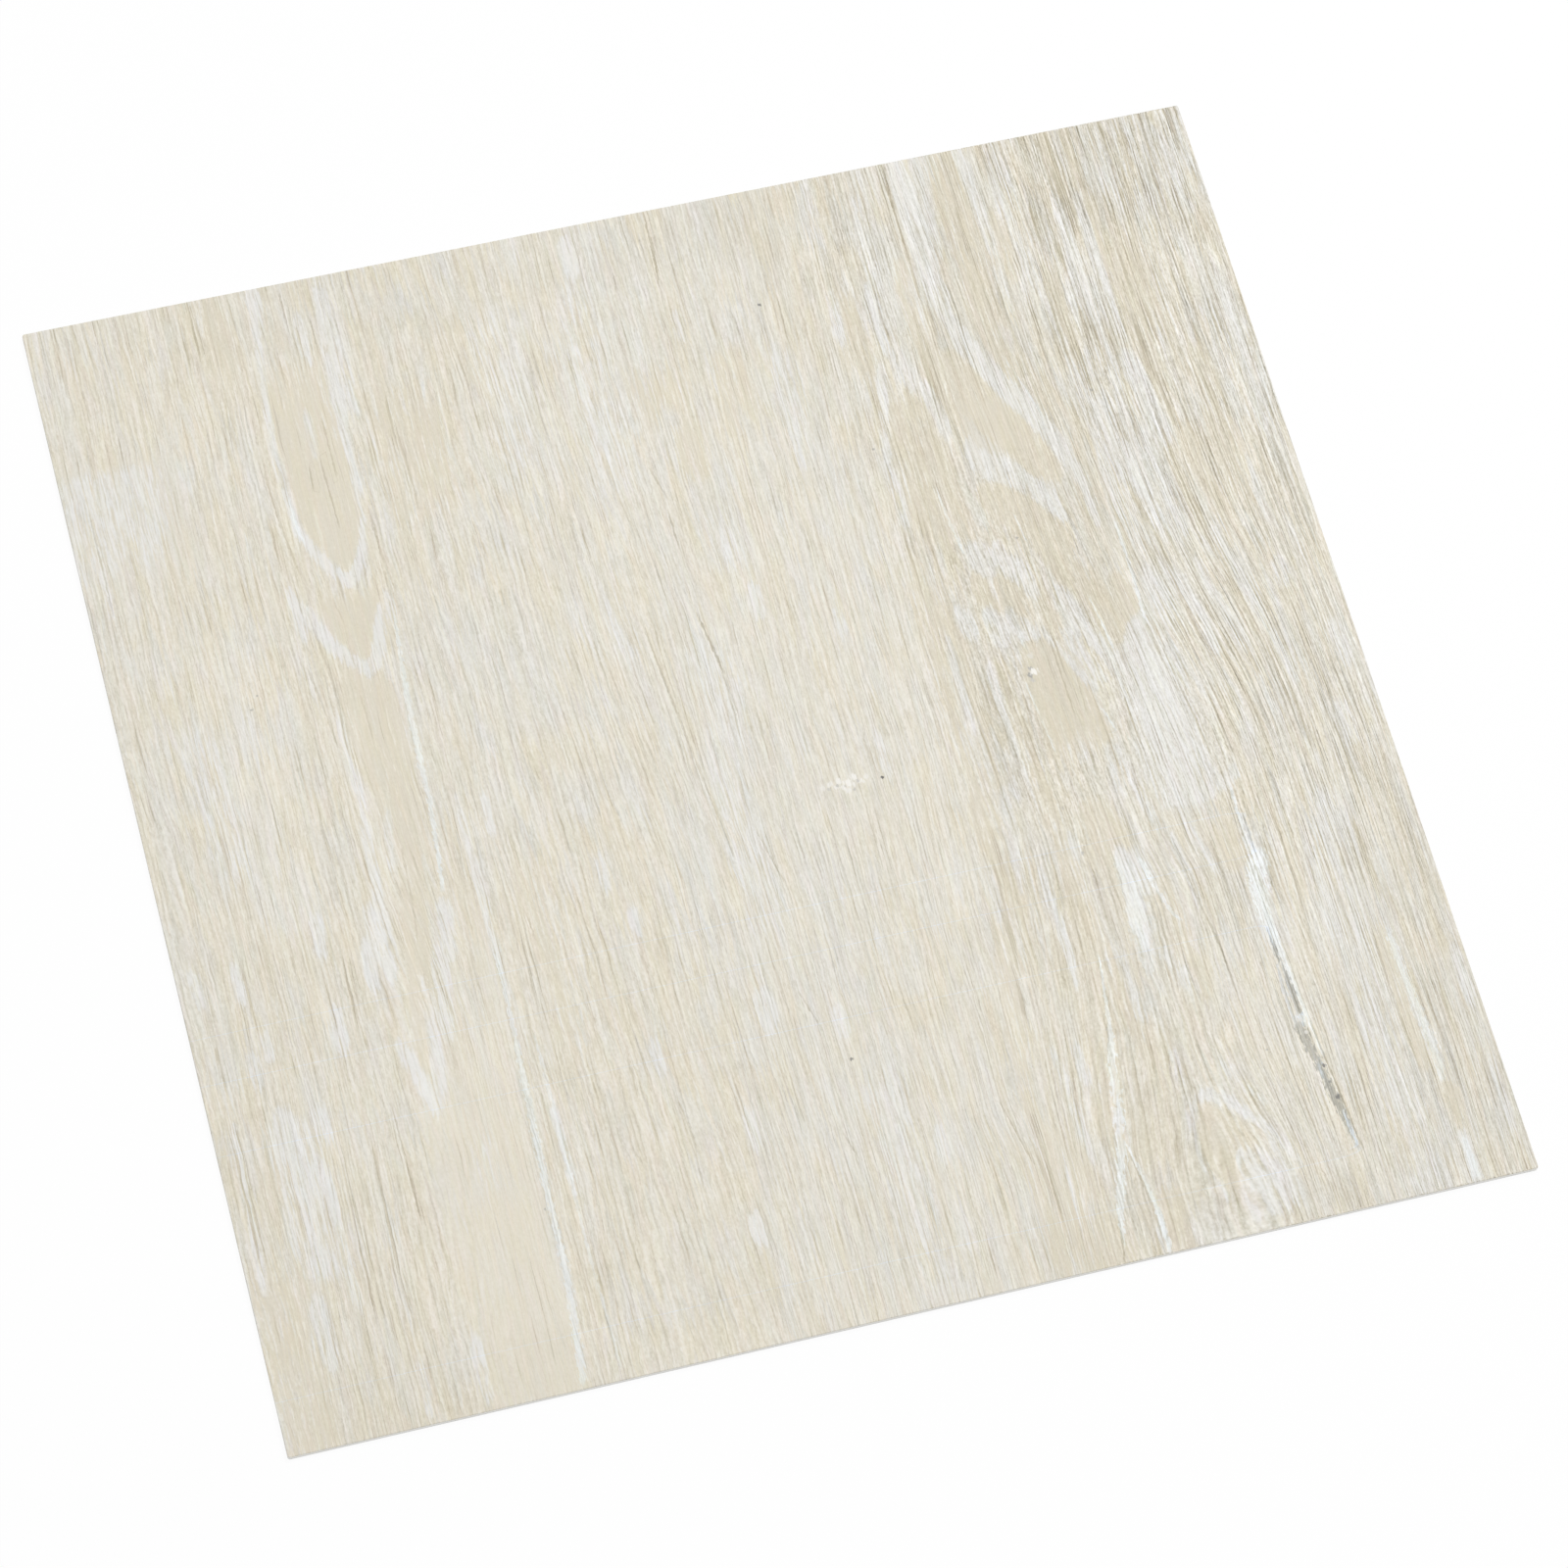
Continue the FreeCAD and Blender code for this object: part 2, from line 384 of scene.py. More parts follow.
# Where the fine lines are stronger (above 0) or fainter (below 0) than in the middle
CONTRAST_PATCHES = (
    (100, EDGE, 60, EDGE, 14, 1, 30, 1, 0.7),
    (105, EDGE, -60, 60, 12, 14, 40, 30, 0.6),
    (46, 98, 62, EDGE, 16, 8, 20, 1, 0.2),
    (100, EDGE, -EDGE, -60, 12, 1, 1, 40, 0.15),
    (-104, -81, -EDGE, -66, 7, 3, 1, 44, -0.6),
    (-96, -81, 72, 120, 3, 3, 6, 30, -0.5),
    (-97, -82, 47, 62, 4, 3, 5, 3, -0.6),
    (-96, -85, -10, 36, 4, 4, 20, 6, -0.3),
    (-82, -77, -62, -24, 2, 2, 14, 8, -0.4),
    (58, 98, -40, 45, 8, 10, 0.15),
    (69, 85, -20, 8, 4, 6, 6, 6, -0.6),
    (72, 88, 64, 80, 4, 5, 4, 4, -0.7),
    (-EDGE, -122, 76, 112, 4, 6, 14, 2, -0.35),
)

# Where the lines lie farther apart and are longer, on plainer ground
SPARSE_PATCHES = (
    (48, EDGE, -EDGE, EDGE, 24, 1, 1, 1, 1.0),
)

# Where the grain is crumbly: finer, and broken up into shorter lines
CRUMBLY_PATCHES = (
    (56, 96, -34, 62, 10, 16, 1.3),
    (72, 100, -EDGE, -112, 8, 8, 1, 12, 0.6),
    (88, 110, -44, 8, 6, 6, 6, 8, 0.8),
)

# Broad patches that are lighter or darker by so many tone levels, described like the chalk
SHADE_PATCHES = (
    (-105, -80, -EDGE, -70, 6, 4, 2, 30, 2.5),
    (50, EDGE, -EDGE, EDGE, 20, 1, 1, 1, -1.2),
    (95, EDGE, 60, EDGE, 20, 1, 40, 1, -3),
    (50, 100, -28, 150, 8, 12, 20, 30, -3.5),
    (55, 78, -EDGE, -28, 8, 10, 1, 30, -1.5),
    (-120, 60, 133, EDGE, 10, 10, 12, 1, -3),
    (-76, -44, 96, 140, 8, 14, -2),
    (28, 46, 60, EDGE, 8, 8, 24, 1, -2.5),
    (80, 92, 112, EDGE, 3, 3, 10, 1, -2.5),
    (124, EDGE, 20, 64, 8, 1, 16, 14, -2),
    (136, EDGE, -EDGE, 20, 8, 1, 1, 24, -2),
    (-132, -112, -26, 52, 8, 14, 4),
    (-104, -94, -84, 30, 5, 14, 3.5),
    (-92, -78, -74, -44, 4, 8, 2.5),
    (-135, -108, -92, -60, 6, 8, 2),
    (30, 62, -EDGE, -136, 8, 8, 1, 10, -4),
    (-140, -80, -EDGE, -136, 8, 5, 1, 8, -2.5),
    (60, 76, -150, -92, 6, 10, -2),
    (108, EDGE, 122, EDGE, 8, 1, 14, 1, -5),
    (62, 76, 104, 136, 5, 8, 4),
    (108, 120, 104, 122, 4, 5, 3.5),
    (92, 104, -18, 2, 4, 6, 4),
    (124, 136, -92, -30, 5, 10, 2.5),
    (104, EDGE, -60, 60, 8, 1, 20, 20, 1.2),
    (136, EDGE, 0, 16, 6, 1, 6, 6, 3),
    (48, 58, -136, -116, 4, 6, -2.5),
    (32, 44, -104, -88, 4, 6, -2.5),
    (-90, -76, 45, 74, 4, 6, -2),
    (46, 62, -62, 12, 8, 6, 14, 12, -3),
    (90, 122, -112, -76, 6, 8, 10, 10, 2.5),
    (91, 105, 104, 134, 5, 8, 4),
    (84, 106, 0, 60, 8, 8, 12, 14, -1.5),
    (66, 84, -18, 10, 5, 6, -2.5),
    (132, EDGE, -60, -10, 8, 1, 14, 14, 2),
    (-4, 46, 88, EDGE, 8, 8, 14, 1, -1.5),
)

# Patches where only the hue of the wood drifts: cooler above 0, warmer below
HUE_PATCHES = (
    (-140, -28, -EDGE, -20, 12, 10, 4, 14, -0.16),
    (-105, -80, -EDGE, -70, 4, 4, 1, 30, -0.12),
    (-EDGE, -140, -108, -60, 5, 5, 12, 8, -0.2),
    (-140, -78, 34, 90, 6, 10, -0.16),
    (-104, -76, -60, 36, 6, 10, -0.08),
    (-72, -48, 100, 126, 6, 8, -0.15),
    (50, 66, -106, -60, 5, 8, -0.3),
    (78, 90, -138, -108, 5, 6, -0.2),
    (-10, 12, -84, 12, 6, 14, 0.14),
    (124, 134, -EDGE, -60, 5, 5, 4, 14, 0.16),
    (60, 100, 90, EDGE, 8, 8, 14, 4, 0.12),
    (94, 102, -44, 12, 3, 3, 6, 10, 0.2),
    (110, 120, 30, 60, 4, 8, 0.15),
    (-128, -100, 110, EDGE, 8, 8, 10, 3, -0.22),
    (-145, -133, 110, 130, 5, 8, -0.25),
    (-60, -46, 120, 138, 5, 8, -0.2),
    (-80, -50, 28, 52, 6, 8, 0.22),
    (-12, 0, 96, 150, 5, 5, 10, 4, 0.45),
    (16, 30, 108, EDGE, 6, 6, 10, 4, 0.35),
    (60, 75, 104, 136, 5, 8, 0.3),
    (76, 90, 134, EDGE, 5, 5, 6, 3, 0.3),
    (-28, -18, -62, -6, 5, 10, 0.3),
    (33, 44, 16, 92, 5, 10, 0.2),
    (-60, -47, 14, 44, 4, 8, 0.3),
    (3, 13, 60, 76, 4, 6, 0.3),
    (-134, -124, -76, -60, 4, 5, 0.25),
    (-13, -3, -106, -90, 4, 6, 0.3),
    (-104, -94, 0, 46, 4, 10, -0.2),
    (-90, -76, 105, 124, 5, 6, 0.2),
    (92, 104, -44, 0, 4, 8, 0.2),
    (-14, -2, -8, 28, 5, 8, 0.2),
    (2, 12, -150, -50, 6, 6, 4, 10, 0.15),
    (-50, -40, 0, 16, 5, 6, -0.25),
    (-48, -40, -20, -10, 3, 4, -0.45),
    (-38, -32, -32, -20, 3, 4, -0.25),
    (-36, -30, -116, -109, 3, 3, -0.35),
    (14, 22, -82, -75, 3, 3, -0.5),
    (-20, -13, 42, 58, 3, 6, -0.25),
    (0, 7, 40, 49, 3, 4, -0.25),
    (34, 46, 106, 152, 4, 6, 10, 3, -0.25),
    (60, 72, -130, -100, 5, 8, -0.25),
    (45, 62, -EDGE, -140, 5, 4, 2, 6, -0.35),
    (64, 80, -EDGE, -140, 4, 4, 2, 6, 0.1),
    (125, 134, 42, 62, 4, 8, -0.2),
    (112, 118, -76, -50, 3, 6, -0.25),
    (110, 118, 0, 70, 5, 14, 0.12),
    (140, 150, 80, 102, 5, 8, 0.2),
)

# Dark, broken lines that follow the grain, described like the white strokes
DARK_STROKES = (
    (0.35, 1.0, (72, 152), (71.8, 135), (71.6, 113)),
    (0.8, 1.0, (116.3, 152), (116, 138), (116, 123)),
    (0.5, 1.0, (121.5, 152), (121.4, 134)),
    (0.4, 0.9, (126.4, 131), (126.4, 123)),
    (0.5, 0.9, (131, 138), (131.4, 122)),
    (0.5, 0.9, (106.3, 131), (107, 104)),
    (0.4, 0.9, (110, 126), (110, 108)),
    (0.5, 0.8, (104.4, 113), (104.8, 86)),
    (0.6, 0.9, (106, 90), (106.6, 72)),
    (0.6, 0.9, (111.2, 99), (113.4, 82)),
    (0.4, 0.8, (118.6, 90), (118.8, 80)),
    (0.4, 0.9, (123, 90), (123.3, 78)),
    (0.5, 0.9, (126.8, 97), (127.2, 85)),
    (0.5, 0.9, (124.6, 77), (124.8, 62)),
    (0.7, 1.1, (121.2, 60), (121.7, 45), (122, 29)),
    (0.4, 0.9, (124.3, 40), (124, 22)),
    (0.6, 1.1, (125.3, 17), (128.3, 3), (131, -12), (132.4, -34)),
    (0.5, 1.0, (111, 27), (113.4, 10), (116.4, -9)),
    (0.4, 0.9, (117, 27), (118.5, 9), (120, -5)),
    (0.6, 1.1, (123.2, 6), (125.8, -10)),
    (0.5, 0.8, (130.5, 61), (131.6, 44)),
    (0.5, 0.8, (140, -28), (140, -51)),
    (0.4, 0.7, (137, 145), (138, 120), (140, 98)),
    (0.5, 0.7, (144.5, 128), (144.6, 112)),
    (0.4, 0.7, (88, 150), (88, 118)),
    (0.4, 0.7, (98.5, 118), (98.8, 96)),
    (0.4, 0.8, (62, 58), (62.3, 52)),
    (0.6, 0.8, (-109.6, 151), (-110, 136)),
    (0.4, 0.8, (-113, 140), (-113, 127)),
    (0.5, 0.8, (-67.5, 112), (-67, 82)),
    (0.5, 0.7, (-74, 110), (-73.6, 86)),
    (0.5, 0.8, (-116, -84), (-117, -122)),
    (0.4, 0.8, (-109.6, -72), (-109.4, -104)),
    (0.5, 0.8, (-124, -95), (-124, -124)),
    (0.4, 0.8, (-137, -33), (-136.6, -46)),
    (0.5, 0.8, (-147, -50), (-148, -112)),
    (0.4, 0.8, (-111.5, -30), (-112, -56)),
    (0.5, 0.7, (49.5, -34), (46.5, -56), (43.5, -84)),
    (0.5, 0.8, (38, -112), (37.6, -138)),
)

# Crisp lines, in layers that may lie side by side: how many tone levels the line is darker (below
# 0) or lighter, and its points from the top down, as x, y and half the width in mm, which is that
# of a thin line where none stands
THIN_LINE = 0.2
CRISP_LINES = {
    "cracks": (
        (-30, (8.7, 149), (8.5, 140, 0.3), (7.5, 130)),
        (-22, (-3, 136), (-3.5, 131)),
        (-16, (-8, 80), (-5.5, 70)),
        (-30, (-6.2, 67), (-6.2, 56, 0.25)),
        (-32, (-6.3, 37), (-5.2, 29, 0.3), (-4, 20, 0.25)),
        (-22, (-4, 19, 0.3), (-3.5, 8)),
        (-17, (-20.5, 40), (-18.3, 16, 0.25), (-16.5, -4, 0.25), (-14, -30)),
        (-20, (-7, -24), (-4, -38)),
        (-18, (-8, -67), (-5, -78)),
        (-18, (-7, -105), (-5, -112)),
        (-20, (31.5, -106), (35, -123)),
        (-18, (38, -123), (38, -137)),
        (-13, (-42, -46), (-42, -102)),
        (-14, (-45.5, 22), (-43, -12)),
        (-18, (24, 117), (24, 103)),
        (-22, (-87, 151), (-87, 137)),
        (-20, (-81, 141), (-81, 129)),
        (-20, (-90.5, 100), (-91, 92)),
        (-16, (-84.5, 112), (-84.5, 94)),
        (-20, (-87.5, 102), (-87, 81)),
        (-16, (-102, 100), (-101, 84, 0.3), (-99.5, 70)),
        (-16, (-79, 84), (-78.5, 72, 0.3), (-77.5, 60)),
        (-12, (-93, 62), (-92, 55)),
        (-14, (-100, 60), (-98.6, 45, 0.3), (-98, 32)),
        (-14, (-103.5, 45), (-101.8, 32, 0.25), (-101, 22)),
        (-10, (-96, 20), (-95, 5, 0.25), (-94.6, -5)),
        (-10, (-92.5, 36), (-92, 22, 0.25)),
        (-10, (-92, -8), (-92.8, -24, 0.25), (-94, -34)),
        (-10, (-70.5, 44), (-70, 30)),
        (-14, (-72, 14), (-71.5, 4)),
        (-14, (-67, -30), (-66, -40)),
        (-18, (-146.5, 99), (-146.5, 69)),
        (-16, (-109.5, -73), (-109.5, -102)),
        (-14, (-145, 141), (-145, 132)),
        (-24, (72.6, 152, 0.35), (72, 142, 0.25), (71.8, 128)),
        (-18, (67.4, 5.5), (67.4, 3), (67.6, 0)),
        (-20, (74, 31), (74.3, 20, 0.25)),
        (-18, (77, 11), (77.5, -11)),
        (-12, (81, 3), (80.5, -12)),
        (-22, (91.5, -48), (92.5, -63, 0.3), (94.5, -78, 0.25), (95, -92)),
        (-18, (82.3, -67), (82, -86)),
        (-18, (85, -80), (86, -92)),
        (-20, (57.8, -125), (58.8, -132, 0.25), (59.5, -140, 0.3), (59.7, -150, 0.3)),
        (-34, (110.2, -103), (110.8, -112), (111.6, -121), (112.3, -130), (112.8, -138)),
        (-22, (134, -51), (134, -72, 0.25)),
        (-20, (132, -84), (131.8, -105, 0.25), (132.6, -126)),
        (-26, (50.8, -142), (49.4, -152, 0.25)),
    ),
    "chalk": (
        (12, (68.1, 0, 0.25), (69, -10, 0.25), (70, -20)),
        (15, (65.2, -75), (63.6, -86, 0.35), (62.2, -95, 0.6), (60.6, -102, 1.0), (59.6, -108, 1.1),
         (58.4, -115, 1.1), (56.6, -123, 1.0), (54.6, -130, 0.95), (52.8, -136, 0.9), (51.3, -142, 0.7),
         (50.4, -148, 0.3)),
        (12, (57.6, -122), (58.8, -128, 0.35), (60.2, -138, 0.4), (60.6, -146, 0.55), (60.6, -152, 0.7)),
        (12, (109.4, -39, 0.35), (109.2, -48, 0.4), (108.8, -56, 0.5)),
        (12, (111.2, -56.5, 1.3), (110.2, -60, 2.6), (108.4, -65, 2.1), (107.7, -72, 1.5),
         (108.2, -80, 0.9), (109, -88, 0.5), (109.6, -98, 0.4), (110.2, -106, 0.35), (110.8, -113, 0.3)),
        (30, (108.2, -101.5, 0.4), (108.4, -104, 0.3)),
        (26, (108.9, -114.5, 0.25), (109, -118, 0.3)),
        (34, (111, -127.5, 0.25), (111.6, -133, 0.35), (111.9, -137, 0.3)),
        (10, (135.8, -84, 0.9), (135.9, -95, 1.0), (136.3, -105, 1.15), (137.1, -113, 1.2),
         (137.4, -120, 1.0), (136.8, -126, 0.7)),
        (8, (137.2, -140, 0.6), (137.4, -152, 1.1)),
        (4, (78.4, -51, 2.3), (78.5, -60, 2.5), (77.2, -70, 2.6), (76.2, -79, 1.8), (75.5, -84, 0.8)),
        (9, (82, -52, 0.6), (83.6, -60, 0.5), (85.4, -67, 0.4), (87.5, -71, 0.4)),
        (14, (61, 58), (61.5, 49, 0.3), (62.8, 38, 0.3)),
        (12, (102.2, 38, 0.3), (102.4, 24, 0.4), (101.8, 9, 0.5)),
        (11, (90, 20, 0.25), (92, 4, 0.25)),
        (12, (84.6, -11, 0.25), (86.4, -18, 0.25)),
        (6, (88, 90, 0.3), (93, 71, 0.3)),
        (12, (69.8, 13, 0.3), (70.8, 9, 0.3)),
        (12, (77.8, 47, 0.25), (79, 38, 0.25)),
        (8, (-97.6, 92, 0.35), (-97.4, 84, 0.4), (-96.4, 78, 0.3)),
        (8, (-79.4, 54, 0.3), (-80.4, 42, 0.5), (-81.4, 30, 0.65), (-82.1, 16, 0.7), (-82.6, 2, 0.6),
         (-83.6, -10, 0.5), (-85, -22, 0.5)),
        (7, (-76.4, -40, 0.4), (-76.7, -58, 0.5), (-77.6, -76, 0.7), (-78.4, -92, 0.8), (-79, -110, 0.8),
         (-79.4, -124, 0.9), (-80.6, -138, 0.9), (-82.2, -152, 0.8)),
        (5, (-72.2, -62, 0.3), (-72.4, -90, 0.5), (-73, -118, 0.4), (-72.6, -150, 0.4)),
    ),
    "infill": (
        (-40, (107.3, -78, 0.3), (107.6, -85, 0.4), (108.3, -91, 0.55), (108.4, -97, 0.7),
         (108.5, -101.5, 0.6)),
        (-41, (107.7, -102, 0.8), (108, -107, 1.15), (108.8, -112, 1.1), (109.6, -118, 0.8),
         (110.5, -124, 1.0), (111.3, -130, 0.75), (112, -137.5, 0.45)),
        (-10, (106.7, -88, 0.3), (106.5, -95, 0.5), (106.5, -103, 0.3)),
        (-10, (110.3, -47, 0.5), (110.2, -57, 0.5)),
    ),
}

# How the change of tone fades round a crisp line, in mm: how far past its ends and its sides it
# reaches, and over which length and width it fades there
LINE_PAST_END = 1
LINE_END_FADE = 3
LINE_REACH = 2.4
LINE_SIDE_FADE = 1.2

# Offset from a crisp line, in half widths, that counts as far away
FAR_OFFSET = 9.0

# Round spots, drawn one over the other: place and radius in mm, the tone level in the middle of
# each, and how far it covers the print
SPOTS = (
    (31, 119, 0.5, 130, 0.9),
    (48.4, 72, 0.4, 165, 0.7),
    (26.7, -16.7, 0.38, 118, 1.0),
    (0, -87, 0.45, 130, 0.8),
    (-119, 36.5, 0.35, 165, 0.7),
    (-117, 40, 0.3, 175, 0.7),
    (-80.5, -107, 0.35, 175, 0.6),
    (77, 39.5, 0.35, 165, 0.7),
    (67.5, -35, 0.4, 180, 0.5),
    (69, -47.6, 0.6, 185, 0.7),
    (106.9, 76, 0.5, 165, 0.6),
    (97.8, -108, 0.3, 180, 0.6),
    # Scratch
    (11.8, -16.2, 0.8, 236, 0.6),
    (13.6, -15.6, 0.8, 238, 0.8),
    (14.6, -16.8, 0.6, 238, 0.8),
    (13.0, -16.9, 0.45, 196, 0.6),
    (16.0, -15.4, 0.8, 240, 0.9),
    (16.6, -17.2, 0.8, 240, 0.9),
    (17.8, -18.1, 0.8, 238, 0.9),
    (18.0, -16.2, 1.0, 242, 1.0),
    (19.8, -15.0, 0.9, 241, 1.0),
    (19.4, -17.0, 0.6, 238, 0.8),
    (21.4, -16.4, 0.8, 240, 0.9),
    (22.8, -15.6, 0.7, 238, 0.8),
    (15.3, -16.3, 0.4, 192, 0.7),
    (17.2, -16.9, 0.35, 196, 0.6),
    (19.0, -18.2, 0.4, 190, 0.7),
    (20.6, -16.2, 0.4, 194, 0.7),
    # Crack
    (110, -115.2, 0.5, 130, 0.9),
    (111, -123.8, 0.7, 125, 0.9),
    (110.2, -119.5, 0.4, 150, 0.7),
    (108, -102.4, 0.5, 228, 0.8),
    (108.4, -105.8, 0.5, 232, 0.8),
    # Knot
    (71.2, 7, 0.9, 229, 0.5),
    (69.9, 0.4, 0.6, 198, 0.7),
    (69.7, 1.9, 0.8, 165, 0.9),
    (70.3, 3.5, 0.7, 178, 0.8),
    (70.9, 2.6, 0.95, 244, 1.0),
)

# Shares of a spot's level in its red, green and blue
SPOT_HUE = (1.0, 0.99, 0.963)

# A spot's rim: where it starts and is full, and how ragged it is, all as shares of the radius
SPOT_RIM = (1.25, 0.55)
SPOT_RAGGEDNESS = 0.7

# Inks, as 8-bit screen colours: the tone of each, and its colour
INK_RAMP = (
    (60, (54, 51, 48)),
    (110, (110, 105, 95)),
    (150, (150, 144, 128)),
    (176, (176, 169.5, 152)),
    (192, (192, 186, 169)),
    (200, (200, 194.4, 178.6)),
    (208, (208, 202.8, 188.4)),
    (216, (216, 211.2, 197.6)),
    (223, (223, 218.7, 206.1)),
    (229, (229, 225.0, 213.7)),
    (236, (236, 232.2, 221.3)),
    (243, (243, 239.6, 229.5)),
    (252, (252, 249.4, 242)),
)

# Tones above LIGHT_FROM are taken down by a share of what they are above it
LIGHT_FROM = 230.0
LIGHT_CUT = 0.3

# Tints, in the order in which they are laid on: how many times lighter each screen colour gets in
# cool and white-washed wood, chalk, filled cracks and warm wood, and in the print's faint drifts
TINTS = {
    "cool": (0.9973, 1.0045, 1.0207),
    "white": (0.9995, 1.002, 1.011),
    "chalky": (0.995, 1.01, 1.022),
    "filled": (1.0, 1.028, 1.085),
    "warm": (1.0067, 0.9955, 0.972),
    "blue": (0.999, 1.0, 1.009),
    "gold": (1.001, 1.0, 0.988),
    "rose": (1.006, 0.998, 1.0),
    "green": (0.994, 1.0, 1.0),
}

# Power that turns a tint of screen levels into one of linear values
SCREEN_GAMMA = 2.26

# Noises, stretched along the grain: width across it and length along it in mm, seed, detail
NOISES = {
    "lines": (0.72, 40.0, 1, 0.0),
    "threads": (0.46, 16.0, 2, 1.0),
    "stitches": (0.6, 3.0, 3, 1.0),
    "bands": (1.5, 30.0, 4, 1.0),
    "broad": (5.5, 60.0, 5, 1.0),
    "ragged": (0.6, 5.0, 6, 2.0),
    "grit": (0.8, 1.0, 7, 2.0),
    "line_edges": (0.5, 1.8, 8, 2.0),
    "clouds": (6.0, 12.0, 10, 3.0),
    "cloud_cores": (6.0, 12.0, 10, 1.5),
    "crumbs": (0.42, 0.9, 16, 1.0),
    "blue_drift": (3.0, 9.0, 15, 2.0),
    "rose_drift": (2.2, 10.0, 11, 2.0),
    "green_drift": (2.2, 10.0, 12, 2.0),
    "sway": (4.0, 7.0, 13, 1.0),
    "breaks": (0.7, 2.2, 14, 2.0),
    "lane_drift": (6.0, 70.0, 21, 1.0),
    "lane_wiggle": (1.4, 8.0, 22, 1.0),
    "lane_light": (0.27, 14.0, 24, 3.0),
    "lane_dark": (0.27, 10.0, 25, 3.0),
}

# How far each seed moves its noise, across and along the grain, in widths and lengths
SEED_STEP = (17.3, 5.7)

# Where the noises are drawn: at the plain place, along the stretched grain, and at the combed place
PLAIN_NOISES = (
    "stitches", "crumbs", "bands", "broad", "ragged", "grit",
    "line_edges", "breaks", "lane_drift", "lane_wiggle",
)
LONG_NOISES = ("lines", "threads")
COMBED_NOISES = ("clouds", "cloud_cores", "blue_drift", "rose_drift", "green_drift")

# How far in mm the fibres sway, and how far they shift the patches of colour along the grain
SWAY_WIDTH = 0.16
COMB_LENGTH = 10.0

# Lanes: how far apart the nearly even lines of the grain lie, in mm
# Each lane's light line and the dark line beside it are partly print and partly painted highlight and shade
# of the emboss
LANE_WIDTH = 1.5

# How soon painted patches fray as they get stronger, and how far the contrast counts in the drifts
FRAY_RISE = 3.0
DRIFT_CONTRAST = 1.5

# Crisp lines: how far their sides stray, how far the filling of a crack breaks up and where the painted
# highlight on their lit edge lies, in half widths, and the share of the line's change of tone that this
# painted highlight turns round
LINE_JITTER = 0.9
LINE_BREAKS = 0.5
LIT_EDGE = 2.1
LIT_SHARE = -0.2

# Mixes: what goes into each part of the print, how much of it, and a number that is always added.
# Tones are in levels, relief in mm
MIXES = {
    "stretch": {"always": 1.0, "sparse": -0.25},
    "fray": {"lines": 0.45, "ragged": 0.5, "threads": 0.4},
    "patchiness": {"broad": 0.12, "ragged": 0.3, "clouds": 0.3},
    "patch_strength": {"always": 0.7, "contrast": 0.3},
    "lane": {"across": 1 / LANE_WIDTH, "lane_drift": 1.3, "lane_wiggle": 0.25, "line_edges": 0.2},
    "lane_gaps": {"sparse": -0.35},
    "pore_places": {"threads": 1.0, "lines": 0.6},
    "fleck_places": {"washed": 1.0, "threads": 0.5, "ragged": 0.2, "light_lines": 0.2},
    "dark_places": {"lines": -0.7, "threads": -0.7, "dark_paint": 1.0},
    "grain_strength": {"always": 0.77, "sparse": 0.5, "white": -0.2, "bare": -0.5},
    "line_strength": {"always": 1.0, "crumbly": -0.15},
    "crumb_strength": {"always": 1.0, "sparse": -0.1, "crumbly": 0.3},
    # light_lines and dark_lines are partly print and partly painted highlight and shade of the emboss
    "line_tone": {"threads": 8.5, "lines": 7.5, "light_lines": 10.5, "dark_lines": -9.5},
    "crumb_tone": {"stitches": 8.0, "crumbs": 7.0},
    "pore_tone": {"pores": -4.0, "always": -1.5},
    "tone": {
        "always": 224.5, "fibres": 1.0, "bands": 0.4, "broad": 0.6, "grit": 2.5, "shade": 1.0,
        "white": 3.6, "bare": -3.2, "dark": -13.0, "flecks": 4.0,
    },
    "drifts": {"broad": 0.2, "cloud_cores": 0.55},
    "hue": {"washed": 1.0, "drifts": 1.0, "drift": 1.0, "chalky": 0.7, "dark": -0.5, "always": -0.08},
    "warmth": {"always": 1.0, "lit": -0.7},
    "gold_drift": {"blue_drift": -1.0},
    "relief": {"fibres": 0.002, "pores": -0.012, "grit": 0.006, "dark": -0.03},
    "roughness": {"always": 0.52, "grit": 0.08},
}

# Steps: between which two values each part of the print sets in
STEPS = {
    "white": (0.3, 0.6),
    "bare": (-0.25, -0.6),
    # The light and dark lanes are partly print and partly painted highlight and shade of the emboss
    "light_lane": (0.32, 0.1),
    "light_lane_shows": (-0.35, 0.3),
    "dark_lane": (-0.24, -0.42),
    "dark_lane_shows": (-0.3, 0.3),
    "pores": (-0.3, -0.62),
    "flecks": (0.62, 0.85),
    "dark": (0.6, 1.05),
    "broken": (-0.25, 0.15),
    "line": (1.3, 0.7),
    # Where the painted highlight on the lit edge of dark crisp lines sets in
    "lit_edge": (1.1, 0.3),
    "chalky": (0.0, 8.0),
    "cool": (0.0, 0.45),
    "warm": (0.05, -0.45),
    "lit": (225.0, 240.0),
    "drift": (0.0, 0.5),
}

# Cut PVC of the walls and pressed PVC of the back: the two levels of red, how far green and blue lie
# below them, the roughness, the depth of the relief in mm, and the noises that the grey is made of,
# as waves per mm along the three axes, detail, and how much each counts
EDGE_LEVELS = (240, 249)
EDGE_FALLS = (0, 1, 5)
EDGE_ROUGHNESS = 0.6
EDGE_NOISES = (((4.0, 4.0, 0.7), 3.0, 0.8),)
BACK_LEVELS = (214, 224)
BACK_FALLS = (0, 1, 4)
BACK_ROUGHNESS = 0.62
BACK_NOISES = (((1.0, 1.0, 1.0), 2.0, 0.3), ((0.025, 0.025, 0.025), 3.0, 0.6))
PLAIN_RELIEF = 0.02

# How much light all three surfaces mirror
SPECULAR = 0.3

# Sockets of Blender's mix node that hold its two colours and the mixed one
MIX_COLOURS = (6, 7)
MIX_RESULT = 2


